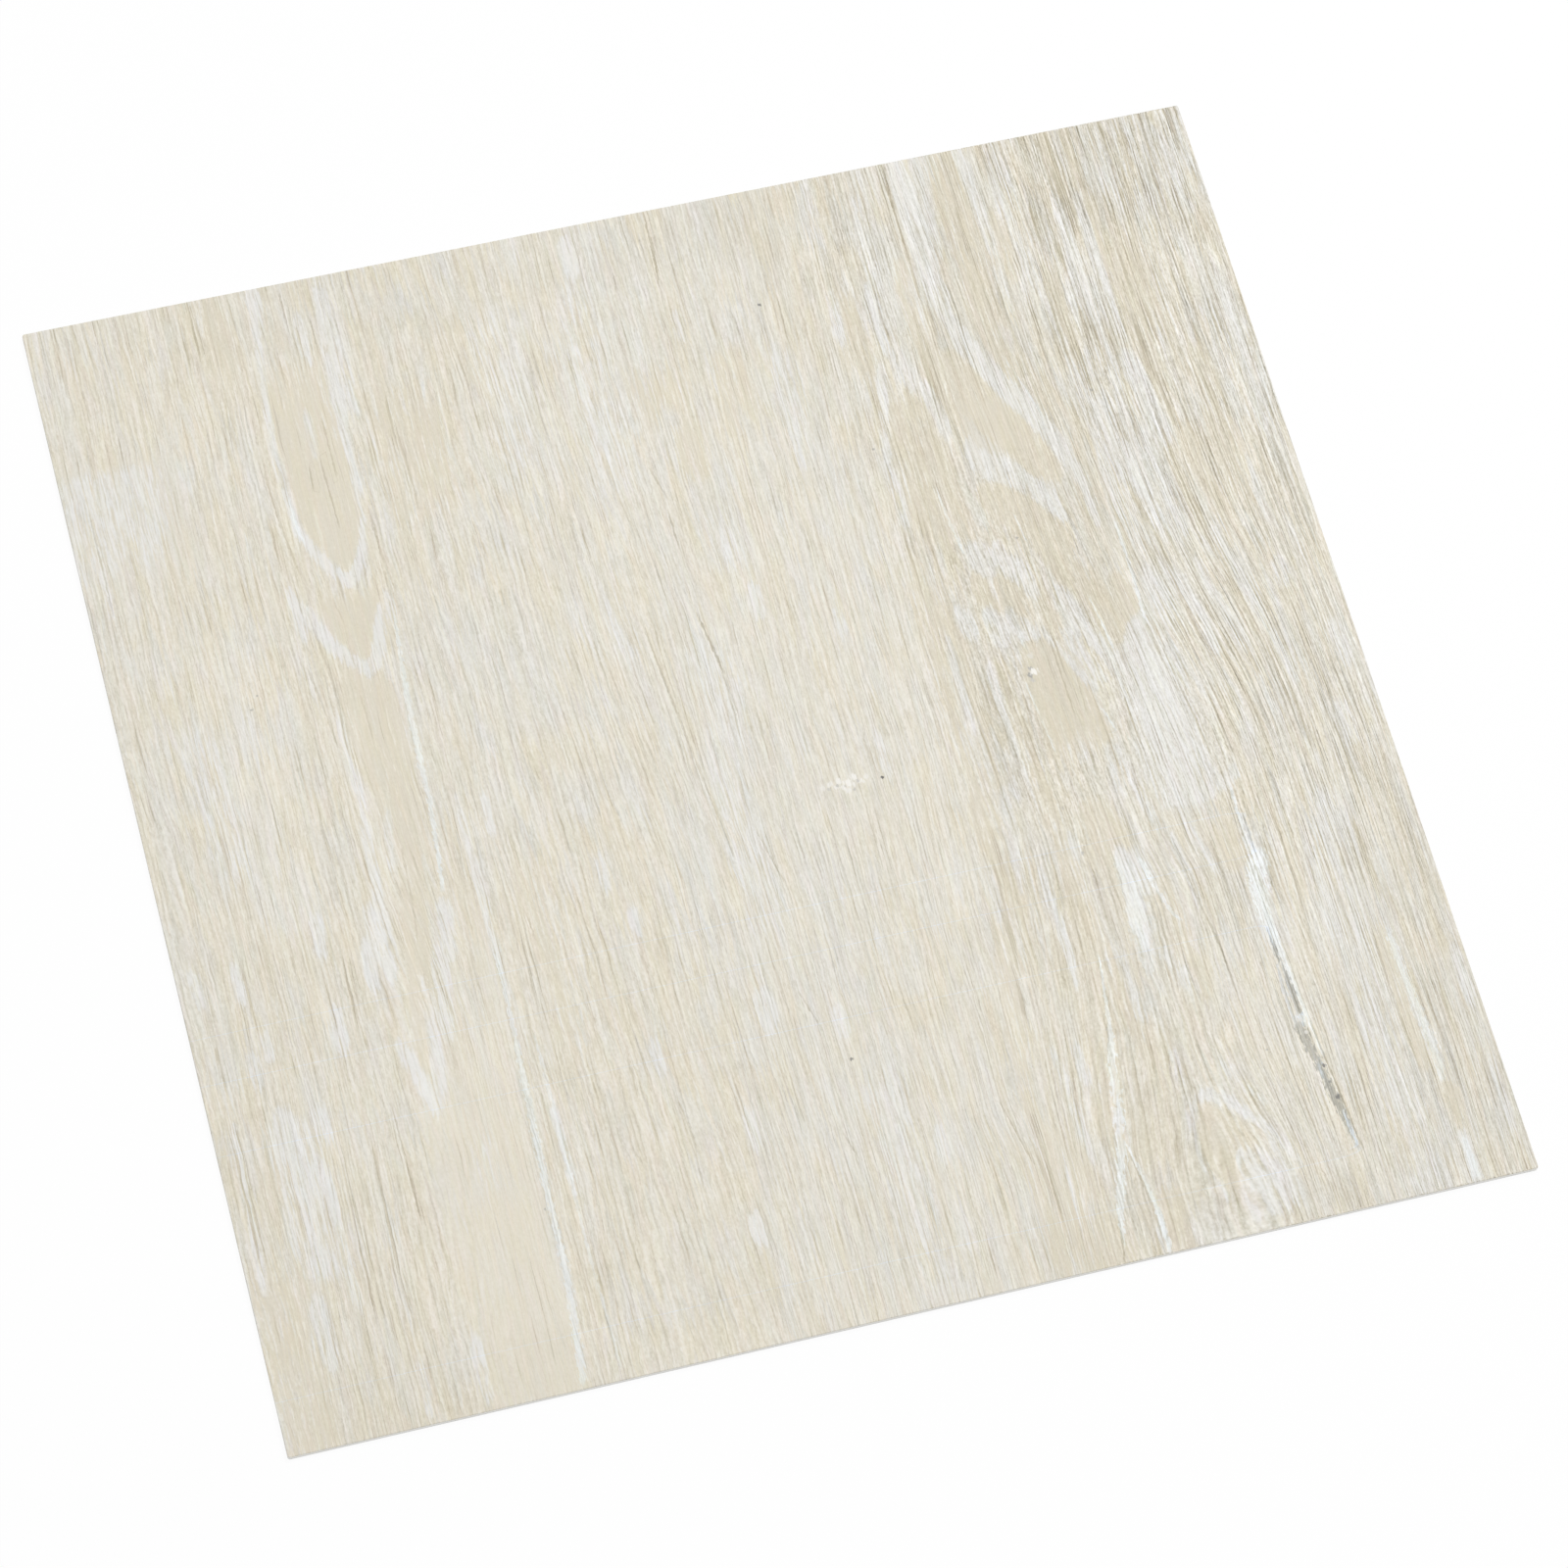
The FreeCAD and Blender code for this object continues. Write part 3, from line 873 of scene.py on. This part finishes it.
def screen_to_linear(level):
    """The linear value of one 8-bit screen level."""
    share = level / 255
    return share / 12.92 if share <= 0.04045 else ((share + 0.055) / 1.055) ** 2.4


def smooth(share):
    """A soft step from 0 to 1 as the share goes from 0 to 1."""
    share = np.clip(share, 0, 1)
    return share * share * (3 - 2 * share)


def add_object(name, data):
    """Puts a mesh, lamp or camera into the scene as a new object."""
    item = bpy.data.objects.new(name, data)
    bpy.context.scene.collection.objects.link(item)
    return item


# Drawing of the print: each function gives one number for every point x, y of the face


def curve_through(points):
    """Points close together on a smooth curve through a few chosen ones, and their share of the way."""
    points = np.array(points, float)
    padded = np.vstack([2 * points[0] - points[1], points, 2 * points[-1] - points[-2]])
    pieces = []
    for before, start, end, after in zip(padded, padded[1:], padded[2:], padded[3:]):
        count = max(2, int(math.dist(start[:2], end[:2]) / CURVE_STEP))
        t = np.linspace(0, 1, count, endpoint=False)[:, None]
        pieces.append(
            0.5 * (2 * start + (end - before) * t
                   + (2 * before - 5 * start + 4 * end - after) * t ** 2
                   + (3 * start - before - 3 * end + after) * t ** 3)
        )
    curve = np.vstack([*pieces, points[-1:]])
    return curve, np.linspace(0, 1, len(curve))


def stroke_mask(x, y, strokes, feather):
    """Strength of the nearest stroke: full along its middle, thinner at its ends, soft at its sides."""
    mask = np.zeros(x.shape)
    for half_width, strength, *points in strokes:
        curve, share = curve_through(points)
        reach = np.array([1, STROKE_STRETCH]) * (half_width + feather)
        low, high = curve.min(axis=0) - reach, curve.max(axis=0) + reach
        near = np.flatnonzero((x > low[0]) & (x < high[0]) & (y > low[1]) & (y < high[1]))
        away_x = x[near, None] - curve[None, :, 0]
        away_y = (y[near, None] - curve[None, :, 1]) / STROKE_STRETCH
        taper = np.minimum(1, STROKE_TIP + STROKE_TAPER * np.minimum(share, 1 - share))
        value = strength * smooth((half_width * taper + feather - np.hypot(away_x, away_y)) / feather)
        mask[near] = np.maximum(mask[near], value.max(axis=1))
    return mask


def tongue_mask(x, y):
    """Strength of the tongues of bare wood: rounded at the tip, straight-sided and fading at the end."""
    mask = np.zeros(x.shape)
    for tip_x, tip_y, end_y, half_width, widening, lean, strength in TAN_TONGUES:
        way = (y - tip_y) * np.sign(end_y - tip_y)
        length = abs(end_y - tip_y)
        half = half_width * np.sqrt(1 - np.exp(-np.clip(way, 0, None) / widening))
        apart = np.abs(x - tip_x - lean * way / length)
        sides = smooth((half - apart) / TONGUE_SIDE + 0.5)
        ends = smooth(way / TONGUE_TIP) * smooth((length - way) / (TONGUE_END * length))
        mask = np.maximum(mask, strength * (sides * ends))
    return mask


def patch_mask(x, y, patches, together=np.maximum):
    """Strength of the strongest patch, or the sum of them all: even inside, soft at its four sides."""
    mask = np.zeros(x.shape)
    for left, right, bottom, top, *softness, strength in patches:
        if len(softness) == 2:
            softness = np.repeat(softness, 2)
        soft_left, soft_right, soft_bottom, soft_top = softness
        inside = (
            smooth((x - left) / soft_left + 0.5) * smooth((right - x) / soft_right + 0.5)
            * smooth((y - bottom) / soft_bottom + 0.5) * smooth((top - y) / soft_top + 0.5)
        )
        mask = together(mask, strength * inside)
    return mask


def streak_waves(flow, y, width, length, seed):
    """Soft waves from -1 to 1 that are much longer along the grain than across it."""
    return np.array([
        noise.noise(Vector((s / width, t / length, seed))) for s, t in zip(flow, y)
    ])


def grain_flow(x, y):
    """Across-grain place of the fibre that passes each point: equal values lie along one line."""
    flow = x + FINER_SHARE * FINER_SOFTNESS * np.logaddexp(0, (x - FINER_FROM) / FINER_SOFTNESS)
    for middle_x, middle_y, across, along, shift in LEANS:
        fade = np.exp(-((x - middle_x) / across) ** 2)
        flow -= shift * fade * (0.5 - 0.5 * np.tanh((y - middle_y) / (0.5 * along)))
    for amount, width, length, seed in WANDERS:
        flow += amount * streak_waves(x, y, width, length, seed)
    return flow


def crisp_lines(x, y, lines):
    """Side offset from the nearest line, in half widths, and its change of tone, which fades around it."""
    offset = np.full(x.shape, FAR_OFFSET)
    change = np.zeros(x.shape)
    nearest = np.full(x.shape, np.inf)
    for tone, *points in lines:
        curve, _ = curve_through([(*point, THIN_LINE)[:3] for point in points])
        line_x, half_width = (np.interp(-y, -curve[:, 1], curve[:, i]) for i in (0, 2))
        top, bottom = curve[0, 1], curve[-1, 1]
        below_top = smooth((top + LINE_PAST_END - y) / LINE_END_FADE)
        end_fade = below_top * smooth((y - bottom + LINE_PAST_END) / LINE_END_FADE)
        away = np.abs(x - line_x)
        near = (away < nearest) & (end_fade > 0)
        nearest[near] = away[near]
        offset[near] = np.clip((x - line_x) / half_width, -FAR_OFFSET, FAR_OFFSET)[near]
        side_fade = smooth((half_width + LINE_REACH - away) / LINE_SIDE_FADE)
        change[near] = (tone * end_fade * side_fade)[near]
    return offset, change


def paint_values(x, y):
    """What the materials and the relief need to know at each point of the face, by name."""
    white = stroke_mask(x, y, WHITE_STROKES, WHITE_FEATHER)
    chalk = patch_mask(x, y, CHALK_PATCHES)
    bare = np.maximum(patch_mask(x, y, TAN_PATCHES), tongue_mask(x, y))
    bare = np.maximum(bare, stroke_mask(x, y, TAN_STROKES, TAN_FEATHER))
    pigment = np.maximum(WHITE_WASH * white, CHALK_WASH * chalk)
    painted = {
        "flow": grain_flow(x, y),
        "wash": pigment - bare * (1 - np.clip(white, 0, 1)),
        "dark_paint": stroke_mask(x, y, DARK_STROKES, DARK_FEATHER),
        "shade": patch_mask(x, y, SHADE_PATCHES, together=np.add),
        "drift": patch_mask(x, y, HUE_PATCHES, together=np.add),
        "contrast": 1 + patch_mask(x, y, CONTRAST_PATCHES, together=np.add),
        "sparse": patch_mask(x, y, SPARSE_PATCHES),
        "crumbly": patch_mask(x, y, CRUMBLY_PATCHES),
    }
    for name, lines in CRISP_LINES.items():
        painted[name + "_offset"], painted[name + "_change"] = crisp_lines(x, y, lines)
    return painted


# Mesh of the tile


def spaced_lines(half, count):
    """Places from edge to edge: the rim lines at both ends, and even steps between them."""
    rim = np.array(RIM_LINES)
    inner = np.linspace(-half + rim[-1], half - rim[-1], count)
    return np.concatenate([-half + rim[:-1], inner, half - rim[-2::-1]])


def round_corners(x, y):
    """Bends the points of each corner square onto quarter circles, and gives how far in each lies."""
    in_x, in_y = HALF_WIDTH - np.abs(x), HALF_LENGTH - np.abs(y)
    out_x, out_y = CORNER_RADIUS - in_x, CORNER_RADIUS - in_y
    corner = (out_x > 0) & (out_y > 0)
    reach = np.maximum(out_x, out_y)
    whole = np.where(corner, reach, 1)
    ratio = np.where(out_x >= out_y, out_y / whole, 2 - out_x / whole)
    angle = math.pi / 4 * ratio
    new_x = np.sign(x) * (HALF_WIDTH - CORNER_RADIUS + reach * np.cos(angle))
    new_y = np.sign(y) * (HALF_LENGTH - CORNER_RADIUS + reach * np.sin(angle))
    inward = np.where(corner, CORNER_RADIUS - reach, np.minimum(in_x, in_y))
    return np.where(corner, new_x, x), np.where(corner, new_y, y), inward


def rim_drop(inward):
    """How far the die rolled the face down at a distance in from the edge."""
    into_roll = np.clip(DIE_ROLL - inward, 0, DIE_ROLL)
    return DIE_ROLL - np.sqrt(DIE_ROLL ** 2 - into_roll ** 2)


def emboss_depth(y, painted):
    """How deep the face is pressed in: soft waves along the grain, and the dark crisp lines."""
    waves = streak_waves(painted["flow"], y, *EMBOSS_WAVES)
    contrast = np.clip(painted["contrast"], *EMBOSS_CONTRAST)
    lines = sum(
        np.clip(-painted[name + "_change"], 0, DEEPEST_CHANGE) * LINE_DEPTH
        * smooth(LINE_DENT - np.abs(painted[name + "_offset"]))
        for name in CRISP_LINES
    )
    return np.clip(EMBOSS_DEPTH + EMBOSS_SWING * waves * contrast, 0, None) + lines


def ring_of(columns, rows):
    """Point numbers round the edge of a grid, anticlockwise from its first corner."""
    front = np.arange(columns)
    right = np.arange(1, rows) * columns + columns - 1
    rear = (rows - 1) * columns + np.arange(columns - 2, -1, -1)
    left = np.arange(rows - 2, 0, -1) * columns
    return np.concatenate([front, right, rear, left])


def tile_faces(columns, rows, ring):
    """The tile's faces as point numbers, and the material slot of each: face 0, walls 1, back 2."""
    first = (np.arange(rows - 1)[:, None] * columns + np.arange(columns - 1)[None, :]).ravel()
    face_quads = np.column_stack([first, first + 1, first + columns + 1, first + columns])
    low = columns * rows + np.arange(len(ring))
    wall_quads = np.column_stack([ring, low, np.roll(low, -1), np.roll(ring, -1)])
    slots = np.concatenate([np.zeros(len(face_quads)), np.ones(len(wall_quads)), [2]])
    return [*face_quads.tolist(), *wall_quads.tolist(), low[::-1].tolist()], slots


def sharpen_foot(mesh, first_low):
    """Makes the edges sharp that join two points of the back, which start at a point number."""
    ends = np.zeros(2 * len(mesh.edges), np.int32)
    mesh.edges.foreach_get("vertices", ends)
    sharp = mesh.attributes.new("sharp_edge", "BOOLEAN", "EDGE")
    sharp.data.foreach_set("value", (ends.reshape(-1, 2) >= first_low).all(axis=1))


def make_tile():
    """The tile as one closed mesh: the embossed face, the cut walls and the flat back."""
    x_lines, y_lines = spaced_lines(HALF_WIDTH, COLUMNS), spaced_lines(HALF_LENGTH, ROWS)
    x, y, inward = round_corners(*(grid.ravel() for grid in np.meshgrid(x_lines, y_lines)))
    painted = paint_values(x, y)
    z = THICKNESS - rim_drop(inward) - emboss_depth(y, painted)
    ring = ring_of(len(x_lines), len(y_lines))
    top = np.column_stack([x, y, z])
    bottom = np.column_stack([x[ring], y[ring], np.zeros(len(ring))])
    faces, slots = tile_faces(len(x_lines), len(y_lines), ring)

    mesh = bpy.data.meshes.new("printed_tile")
    mesh.from_pydata((np.vstack([top, bottom]) * MM).tolist(), [], faces)
    mesh.polygons.foreach_set("material_index", slots.astype(np.int32))
    mesh.polygons.foreach_set("use_smooth", slots < 2)
    sharpen_foot(mesh, len(top))
    for name, values in painted.items():
        attribute = mesh.attributes.new(name, "FLOAT", "POINT")
        whole = np.concatenate([values, np.zeros(len(ring))]).astype(np.float32)
        attribute.data.foreach_set("value", whole)
    mesh.update()
    return add_object("printed_tile", mesh)


# Materials


class Graph:
    """One material, short calls for adding and joining its nodes, and values of its print by name."""

    def __init__(self, name):
        self.material = bpy.data.materials.new(name)
        self.material.use_nodes = True
        self.tree = self.material.node_tree
        self.tree.nodes.clear()
        self.values = {}

    def node(self, kind, **settings):
        node = self.tree.nodes.new(kind)
        for name, value in settings.items():
            setattr(node, name, value)
        return node

    def feed(self, socket, value):
        """Joins another node's output to a socket, or sets the socket to a plain value."""
        if isinstance(value, bpy.types.NodeSocket):
            self.tree.links.new(value, socket)
        else:
            socket.default_value = value

    def math(self, operation, *values, clamp=False):
        node = self.node("ShaderNodeMath", operation=operation, use_clamp=clamp)
        for socket, value in zip(node.inputs, values):
            self.feed(socket, value)
        return node.outputs[0]

    def total(self, *values):
        result = values[0]
        for value in values[1:]:
            result = self.math("ADD", result, value)
        return result

    def times(self, first, second):
        return self.math("MULTIPLY", first, second)

    def mix(self, name):
        """The sum of what one of the MIXES names, each times its amount, and of what it always adds."""
        return self.total(*(
            amount if part == "always" else self.times(self.values[part], amount)
            for part, amount in MIXES[name].items()
        ))

    def step(self, value, start, end, kind="SMOOTHSTEP"):
        """0 before the start, 1 past the end and a step between them, soft unless another is asked for."""
        node = self.node("ShaderNodeMapRange", interpolation_type=kind)
        for socket, number in zip(node.inputs, (value, start, end, 0.0, 1.0)):
            self.feed(socket, number)
        return node.outputs[0]

    def sets_in(self, name, value):
        """The soft step of one of the STEPS."""
        return self.step(value, *STEPS[name])

    def attribute(self, name):
        return self.node("ShaderNodeAttribute", attribute_name=name).outputs["Fac"]

    def position(self):
        """Place on the object, in metres."""
        return self.node("ShaderNodeTexCoord").outputs["Object"]

    def joined(self, across, along):
        vector = self.node("ShaderNodeCombineXYZ")
        self.feed(vector.inputs[0], across)
        self.feed(vector.inputs[1], along)
        return vector.outputs[0]

    def noise(self, place, scale, shift, detail, dimensions="3D"):
        """A noise, about 0, at a place that is scaled and then shifted."""
        scaled = self.node("ShaderNodeVectorMath", operation="MULTIPLY_ADD")
        self.feed(scaled.inputs[0], place)
        scaled.inputs[1].default_value = scale
        scaled.inputs[2].default_value = shift
        texture = self.node("ShaderNodeTexNoise", noise_dimensions=dimensions, normalize=False)
        self.feed(texture.inputs["Vector"], scaled.outputs[0])
        texture.inputs["Scale"].default_value = 1.0
        texture.inputs["Detail"].default_value = detail
        return texture.outputs["Fac"]

    def streaks(self, place, name):
        """One of the NOISES at a place in mm."""
        width, length, seed, detail = NOISES[name]
        shift = (seed * SEED_STEP[0], seed * SEED_STEP[1], 0)
        return self.noise(place, (1 / width, 1 / length, 1), shift, detail, "2D")

    def cover(self, factor, colour, second, way="MIX"):
        """Lays a second colour over the first, or multiplies them, as far as the factor says."""
        node = self.node("ShaderNodeMix", data_type="RGBA", blend_type=way)
        first_colour, second_colour = (node.inputs[place] for place in MIX_COLOURS)
        self.feed(node.inputs["Factor"], factor)
        self.feed(first_colour, colour)
        second_colour.default_value = (*second, 1)
        return node.outputs[MIX_RESULT]

    def ramp(self, share, stops):
        """The colour at a share of the way along stops, which are places and 8-bit screen colours."""
        node = self.node("ShaderNodeValToRGB")
        self.feed(node.inputs[0], share)
        elements = node.color_ramp.elements
        for index, (place, colour) in enumerate(stops):
            element = elements[index] if index < 2 else elements.new(place)
            element.position = place
            element.color = (*(screen_to_linear(level) for level in colour), 1)
        return node.outputs["Color"]

    def finish(self, colour, roughness, height, relief=1.0):
        """Joins the colour, roughness and height, which counts in units of the relief, to a shader."""
        bump = self.node("ShaderNodeBump")
        bump.inputs["Distance"].default_value = relief * MM
        self.feed(bump.inputs["Height"], height)
        shader = self.node("ShaderNodeBsdfPrincipled")
        shader.inputs["Specular IOR Level"].default_value = SPECULAR
        self.feed(shader.inputs["Base Color"], colour)
        self.feed(shader.inputs["Roughness"], roughness)
        self.feed(shader.inputs["Normal"], bump.outputs["Normal"])
        return self.shown(shader)

    def shown(self, shader):
        """Makes a shader the surface of the material, and gives the material."""
        output = self.node("ShaderNodeOutputMaterial")
        self.feed(output.inputs["Surface"], shader.outputs[0])
        return self.material


def add_noises(graph, position):
    """Adds what is painted on the mesh, the fibre's place across the grain in mm, and the noises."""
    values = graph.values
    for name in ("flow", "wash", "dark_paint", "shade", "drift", "contrast", "sparse", "crumbly"):
        values[name] = graph.attribute(name)
    split = graph.node("ShaderNodeSeparateXYZ")
    graph.feed(split.inputs[0], position)
    along = graph.times(split.outputs[1], 1 / MM)
    sway = graph.streaks(graph.joined(values["flow"], along), "sway")
    values["across"] = across = graph.math("MULTIPLY_ADD", sway, SWAY_WIDTH, values["flow"])
    values["stretched"] = graph.times(along, graph.mix("stretch"))

    place = graph.joined(across, along)
    for name in PLAIN_NOISES:
        values[name] = graph.streaks(place, name)
    long_place = graph.joined(across, values["stretched"])
    for name in LONG_NOISES:
        values[name] = graph.streaks(long_place, name)
    combed = graph.joined(across, graph.math("MULTIPLY_ADD", values["lines"], COMB_LENGTH, along))
    for name in COMBED_NOISES:
        values[name] = graph.streaks(combed, name)


def add_pigment(graph):
    """Adds the frayed wash, and where the wood is white and where it is bare."""
    values = graph.values
    near = graph.math("MULTIPLY", graph.math("ABSOLUTE", values["wash"]), FRAY_RISE, clamp=True)
    values["washed"] = graph.total(values["wash"], graph.times(graph.mix("fray"), near))
    patchiness = graph.times(graph.mix("patchiness"), graph.mix("patch_strength"))
    wash = graph.total(values["washed"], patchiness)
    for name in ("white", "bare"):
        values[name] = graph.sets_in(name, wash)


def add_lanes(graph):
    """Adds the grain's nearly even lines, partly print and partly painted emboss highlight and shade: how
    light and how dark each is, each with its own breaks.
    """
    values = graph.values
    lane = graph.mix("lane")
    number = graph.math("FLOOR", lane)
    own_place = graph.joined(number, values["stretched"])
    gaps = graph.mix("lane_gaps")
    within = graph.math("SUBTRACT", graph.math("SUBTRACT", lane, number), 0.5)
    for name, side in (("light", graph.math("ABSOLUTE", within)), ("dark", within)):
        shows = graph.total(graph.streaks(own_place, "lane_" + name), gaps)
        shows = graph.sets_in(name + "_lane_shows", shows)
        values[name + "_lines"] = graph.times(graph.sets_in(name + "_lane", side), shows)


def add_fibres(graph):
    """Adds the tone of the fibres, and where pores, flecks of pigment and dark lines are."""
    values = graph.values
    values["pores"] = graph.sets_in("pores", graph.mix("pore_places"))
    strength = graph.times(graph.mix("grain_strength"), values["contrast"])
    long_lines = graph.times(graph.mix("line_tone"), graph.mix("line_strength"))
    crumbs = graph.times(graph.mix("crumb_tone"), graph.mix("crumb_strength"))
    values["fibres"] = graph.times(graph.total(long_lines, crumbs, graph.mix("pore_tone")), strength)
    values["flecks"] = graph.sets_in("flecks", graph.mix("fleck_places"))
    values["dark"] = graph.sets_in("dark", graph.mix("dark_places"))


def plain_tone(graph):
    """Tone of the grain, with its lightest parts taken down."""
    tone = graph.mix("tone")
    too_light = graph.math("MAXIMUM", graph.total(tone, -LIGHT_FROM), 0.0)
    return graph.math("MULTIPLY_ADD", too_light, -LIGHT_CUT, tone)


def draw_lines(graph, tone, name, jitter):
    """Draws one layer of crisp lines, with a painted highlight on the lit edge of dark ones, and gives the
    tone and where the lines lie.
    """
    offset = graph.total(graph.attribute(name + "_offset"), jitter)
    change = graph.attribute(name + "_change")
    on_line = graph.sets_in("line", graph.math("ABSOLUTE", offset))
    tone = graph.math("MULTIPLY_ADD", on_line, change, tone)
    # Painted highlight: the tone is raised beside each dark line, on its lit edge
    on_edge = graph.sets_in("lit_edge", graph.math("ABSOLUTE", graph.total(offset, LIT_EDGE)))
    darkening = graph.math("MINIMUM", change, 0.0)
    return graph.math("MULTIPLY_ADD", graph.times(on_edge, darkening), LIT_SHARE, tone), on_line


def draw_marks(graph, tone, jitter):
    """Draws the cracks, their filling and the chalk, and gives the tone."""
    values = graph.values
    broken = graph.sets_in("broken", values["breaks"])
    tone, _ = draw_lines(graph, tone, "cracks", jitter)
    filling_jitter = graph.total(jitter, graph.times(broken, LINE_BREAKS))
    tone, values["filled"] = draw_lines(graph, tone, "infill", filling_jitter)
    tone, chalk = draw_lines(graph, tone, "chalk", jitter)
    values["chalky"] = graph.sets_in("chalky", graph.times(chalk, graph.attribute("chalk_change")))
    return tone


def ink_colour(graph, tone):
    """Colour of the print at a tone."""
    low, high = INK_RAMP[0][0], INK_RAMP[-1][0]
    stops = [((level - low) / (high - low), colour) for level, colour in INK_RAMP]
    return graph.ramp(graph.step(tone, low, high, "LINEAR"), stops)


def lay_tints(graph, tone, colour):
    """Lays the tints on the colour, one after another."""
    values = graph.values
    contrast = graph.math("MINIMUM", values["contrast"], DRIFT_CONTRAST)
    values["drifts"] = graph.times(graph.mix("drifts"), contrast)
    hue = graph.mix("hue")
    values["lit"] = graph.sets_in("lit", tone)
    values["cool"] = graph.sets_in("cool", hue)
    values["warm"] = graph.times(graph.sets_in("warm", hue), graph.mix("warmth"))
    values["gold_drift"] = graph.mix("gold_drift")
    for name in ("blue", "gold", "rose", "green"):
        values[name] = graph.sets_in("drift", values[name + "_drift"])
    for name, tint in TINTS.items():
        linear_tint = [level ** SCREEN_GAMMA for level in tint]
        colour = graph.cover(values[name], colour, linear_tint, "MULTIPLY")
    return colour


def add_spots(graph, position, jitter, colour):
    """Covers the print with the spots, one after another, each with a ragged rim."""
    for x, y, radius, level, cover in SPOTS:
        apart = graph.node("ShaderNodeVectorMath", operation="DISTANCE")
        graph.feed(apart.inputs[0], position)
        apart.inputs[1].default_value = (x * MM, y * MM, THICKNESS * MM)
        ragged = graph.math("MULTIPLY_ADD", jitter, SPOT_RAGGEDNESS * radius * MM, apart.outputs["Value"])
        inside = graph.step(ragged, *(share * radius * MM for share in SPOT_RIM))
        ink = [screen_to_linear(level * share) for share in SPOT_HUE]
        colour = graph.cover(graph.times(inside, cover), colour, ink)
    return colour


def printed_face():
    """White-washed wood grain, printed on vinyl and embossed: fine lines, pigment, bare wood, marks."""
    graph = Graph("printed_face")
    position = graph.position()
    add_noises(graph, position)
    add_pigment(graph)
    add_lanes(graph)
    add_fibres(graph)
    jitter = graph.times(graph.values["line_edges"], LINE_JITTER)
    tone = draw_marks(graph, plain_tone(graph), jitter)
    colour = lay_tints(graph, tone, ink_colour(graph, tone))
    colour = add_spots(graph, position, jitter, colour)
    return graph.finish(colour, graph.mix("roughness"), graph.mix("relief"))


def plain_pvc(name, levels, falls, roughness, noises):
    """Unprinted PVC: a grey made of noises, the first of which is also its relief."""
    graph = Graph(name)
    position = graph.position()
    waves = [
        graph.noise(position, [count / MM for count in counts], (0, 0, 0), detail)
        for counts, detail, _ in noises
    ]
    parts = [graph.times(wave, amount) for wave, (_, _, amount) in zip(waves, noises)]
    stops = [(place, [level - fall for fall in falls]) for place, level in enumerate(levels)]
    return graph.finish(graph.ramp(graph.total(*parts, 0.5), stops), roughness, waves[0], PLAIN_RELIEF)


def cut_edge():
    """Cut PVC, filled with chalk: pale grey, faintly dragged through its thickness by the die."""
    return plain_pvc("cut_edge", EDGE_LEVELS, EDGE_FALLS, EDGE_ROUGHNESS, EDGE_NOISES)


def plain_back():
    """Plain, matt off-white PVC with the faint, even texture of the press."""
    return plain_pvc("plain_back", BACK_LEVELS, BACK_FALLS, BACK_ROUGHNESS, BACK_NOISES)


# Camera, light and floor


def add_camera():
    """The photograph's viewpoint, with its roll."""
    place, aim = Vector(CAMERA_PLACE) * MM, Vector(CAMERA_AIM) * MM
    forward = (aim - place).normalized()
    right = forward.cross(Vector((0, 0, 1))).normalized()
    up = right.cross(forward)
    turn = math.radians(CAMERA_ROLL)
    rolled_up = up * math.cos(turn) + right * math.sin(turn)
    rolled_right = forward.cross(rolled_up)
    data = bpy.data.cameras.new("camera")
    data.lens = CAMERA_LENS
    data.sensor_width = CAMERA_SENSOR
    data.clip_start, data.clip_end = CAMERA_CLIP
    camera = add_object("camera", data)
    camera.matrix_world = Matrix((
        (rolled_right.x, rolled_up.x, -forward.x, place.x),
        (rolled_right.y, rolled_up.y, -forward.y, place.y),
        (rolled_right.z, rolled_up.z, -forward.z, place.z),
        (0, 0, 0, 1),
    ))
    bpy.context.scene.camera = camera


def add_light():
    """An even white sky and one large, soft lamp."""
    world = bpy.data.worlds.new("sky")
    world.use_nodes = True
    sky = world.node_tree.nodes["Background"]
    sky.inputs["Color"].default_value = (1, 1, 1, 1)
    sky.inputs["Strength"].default_value = SKY_STRENGTH
    bpy.context.scene.world = world
    data = bpy.data.lights.new("lamp", "AREA")
    data.shape = "DISK"
    data.size = LAMP_SIZE
    data.energy = LAMP_POWER
    lamp = add_object("lamp", data)
    lamp.location = LAMP_PLACE
    lamp.rotation_euler = (-Vector(LAMP_PLACE)).to_track_quat("-Z", "Y").to_euler()


def add_floor():
    """A wide pale floor that the camera sees as white, and that keeps the tile's shadow."""
    half = FLOOR_SIZE / 2
    corners = [(-half, -half, 0), (half, -half, 0), (half, half, 0), (-half, half, 0)]
    mesh = bpy.data.meshes.new("floor")
    mesh.from_pydata(corners, [], [(0, 1, 2, 3)])
    floor = add_object("floor", mesh)
    graph = Graph("floor_paint")
    diffuse = graph.node("ShaderNodeBsdfDiffuse")
    diffuse.inputs["Color"].default_value = (*FLOOR_COLOUR, 1)
    glow = graph.node("ShaderNodeEmission")
    seen = graph.node("ShaderNodeLightPath")
    mix = graph.node("ShaderNodeMixShader")
    graph.feed(mix.inputs[0], graph.times(seen.outputs["Is Camera Ray"], FLOOR_GLOW))
    graph.feed(mix.inputs[1], diffuse.outputs[0])
    graph.feed(mix.inputs[2], glow.outputs[0])
    mesh.materials.append(graph.shown(mix))


add_camera()
add_light()
add_floor()

tile = make_tile()
for material in (printed_face(), cut_edge(), plain_back()):
    tile.data.materials.append(material)
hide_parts(TILE_NODE)
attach(tile, "root")

bpy.context.scene.view_settings.view_transform = "Standard"
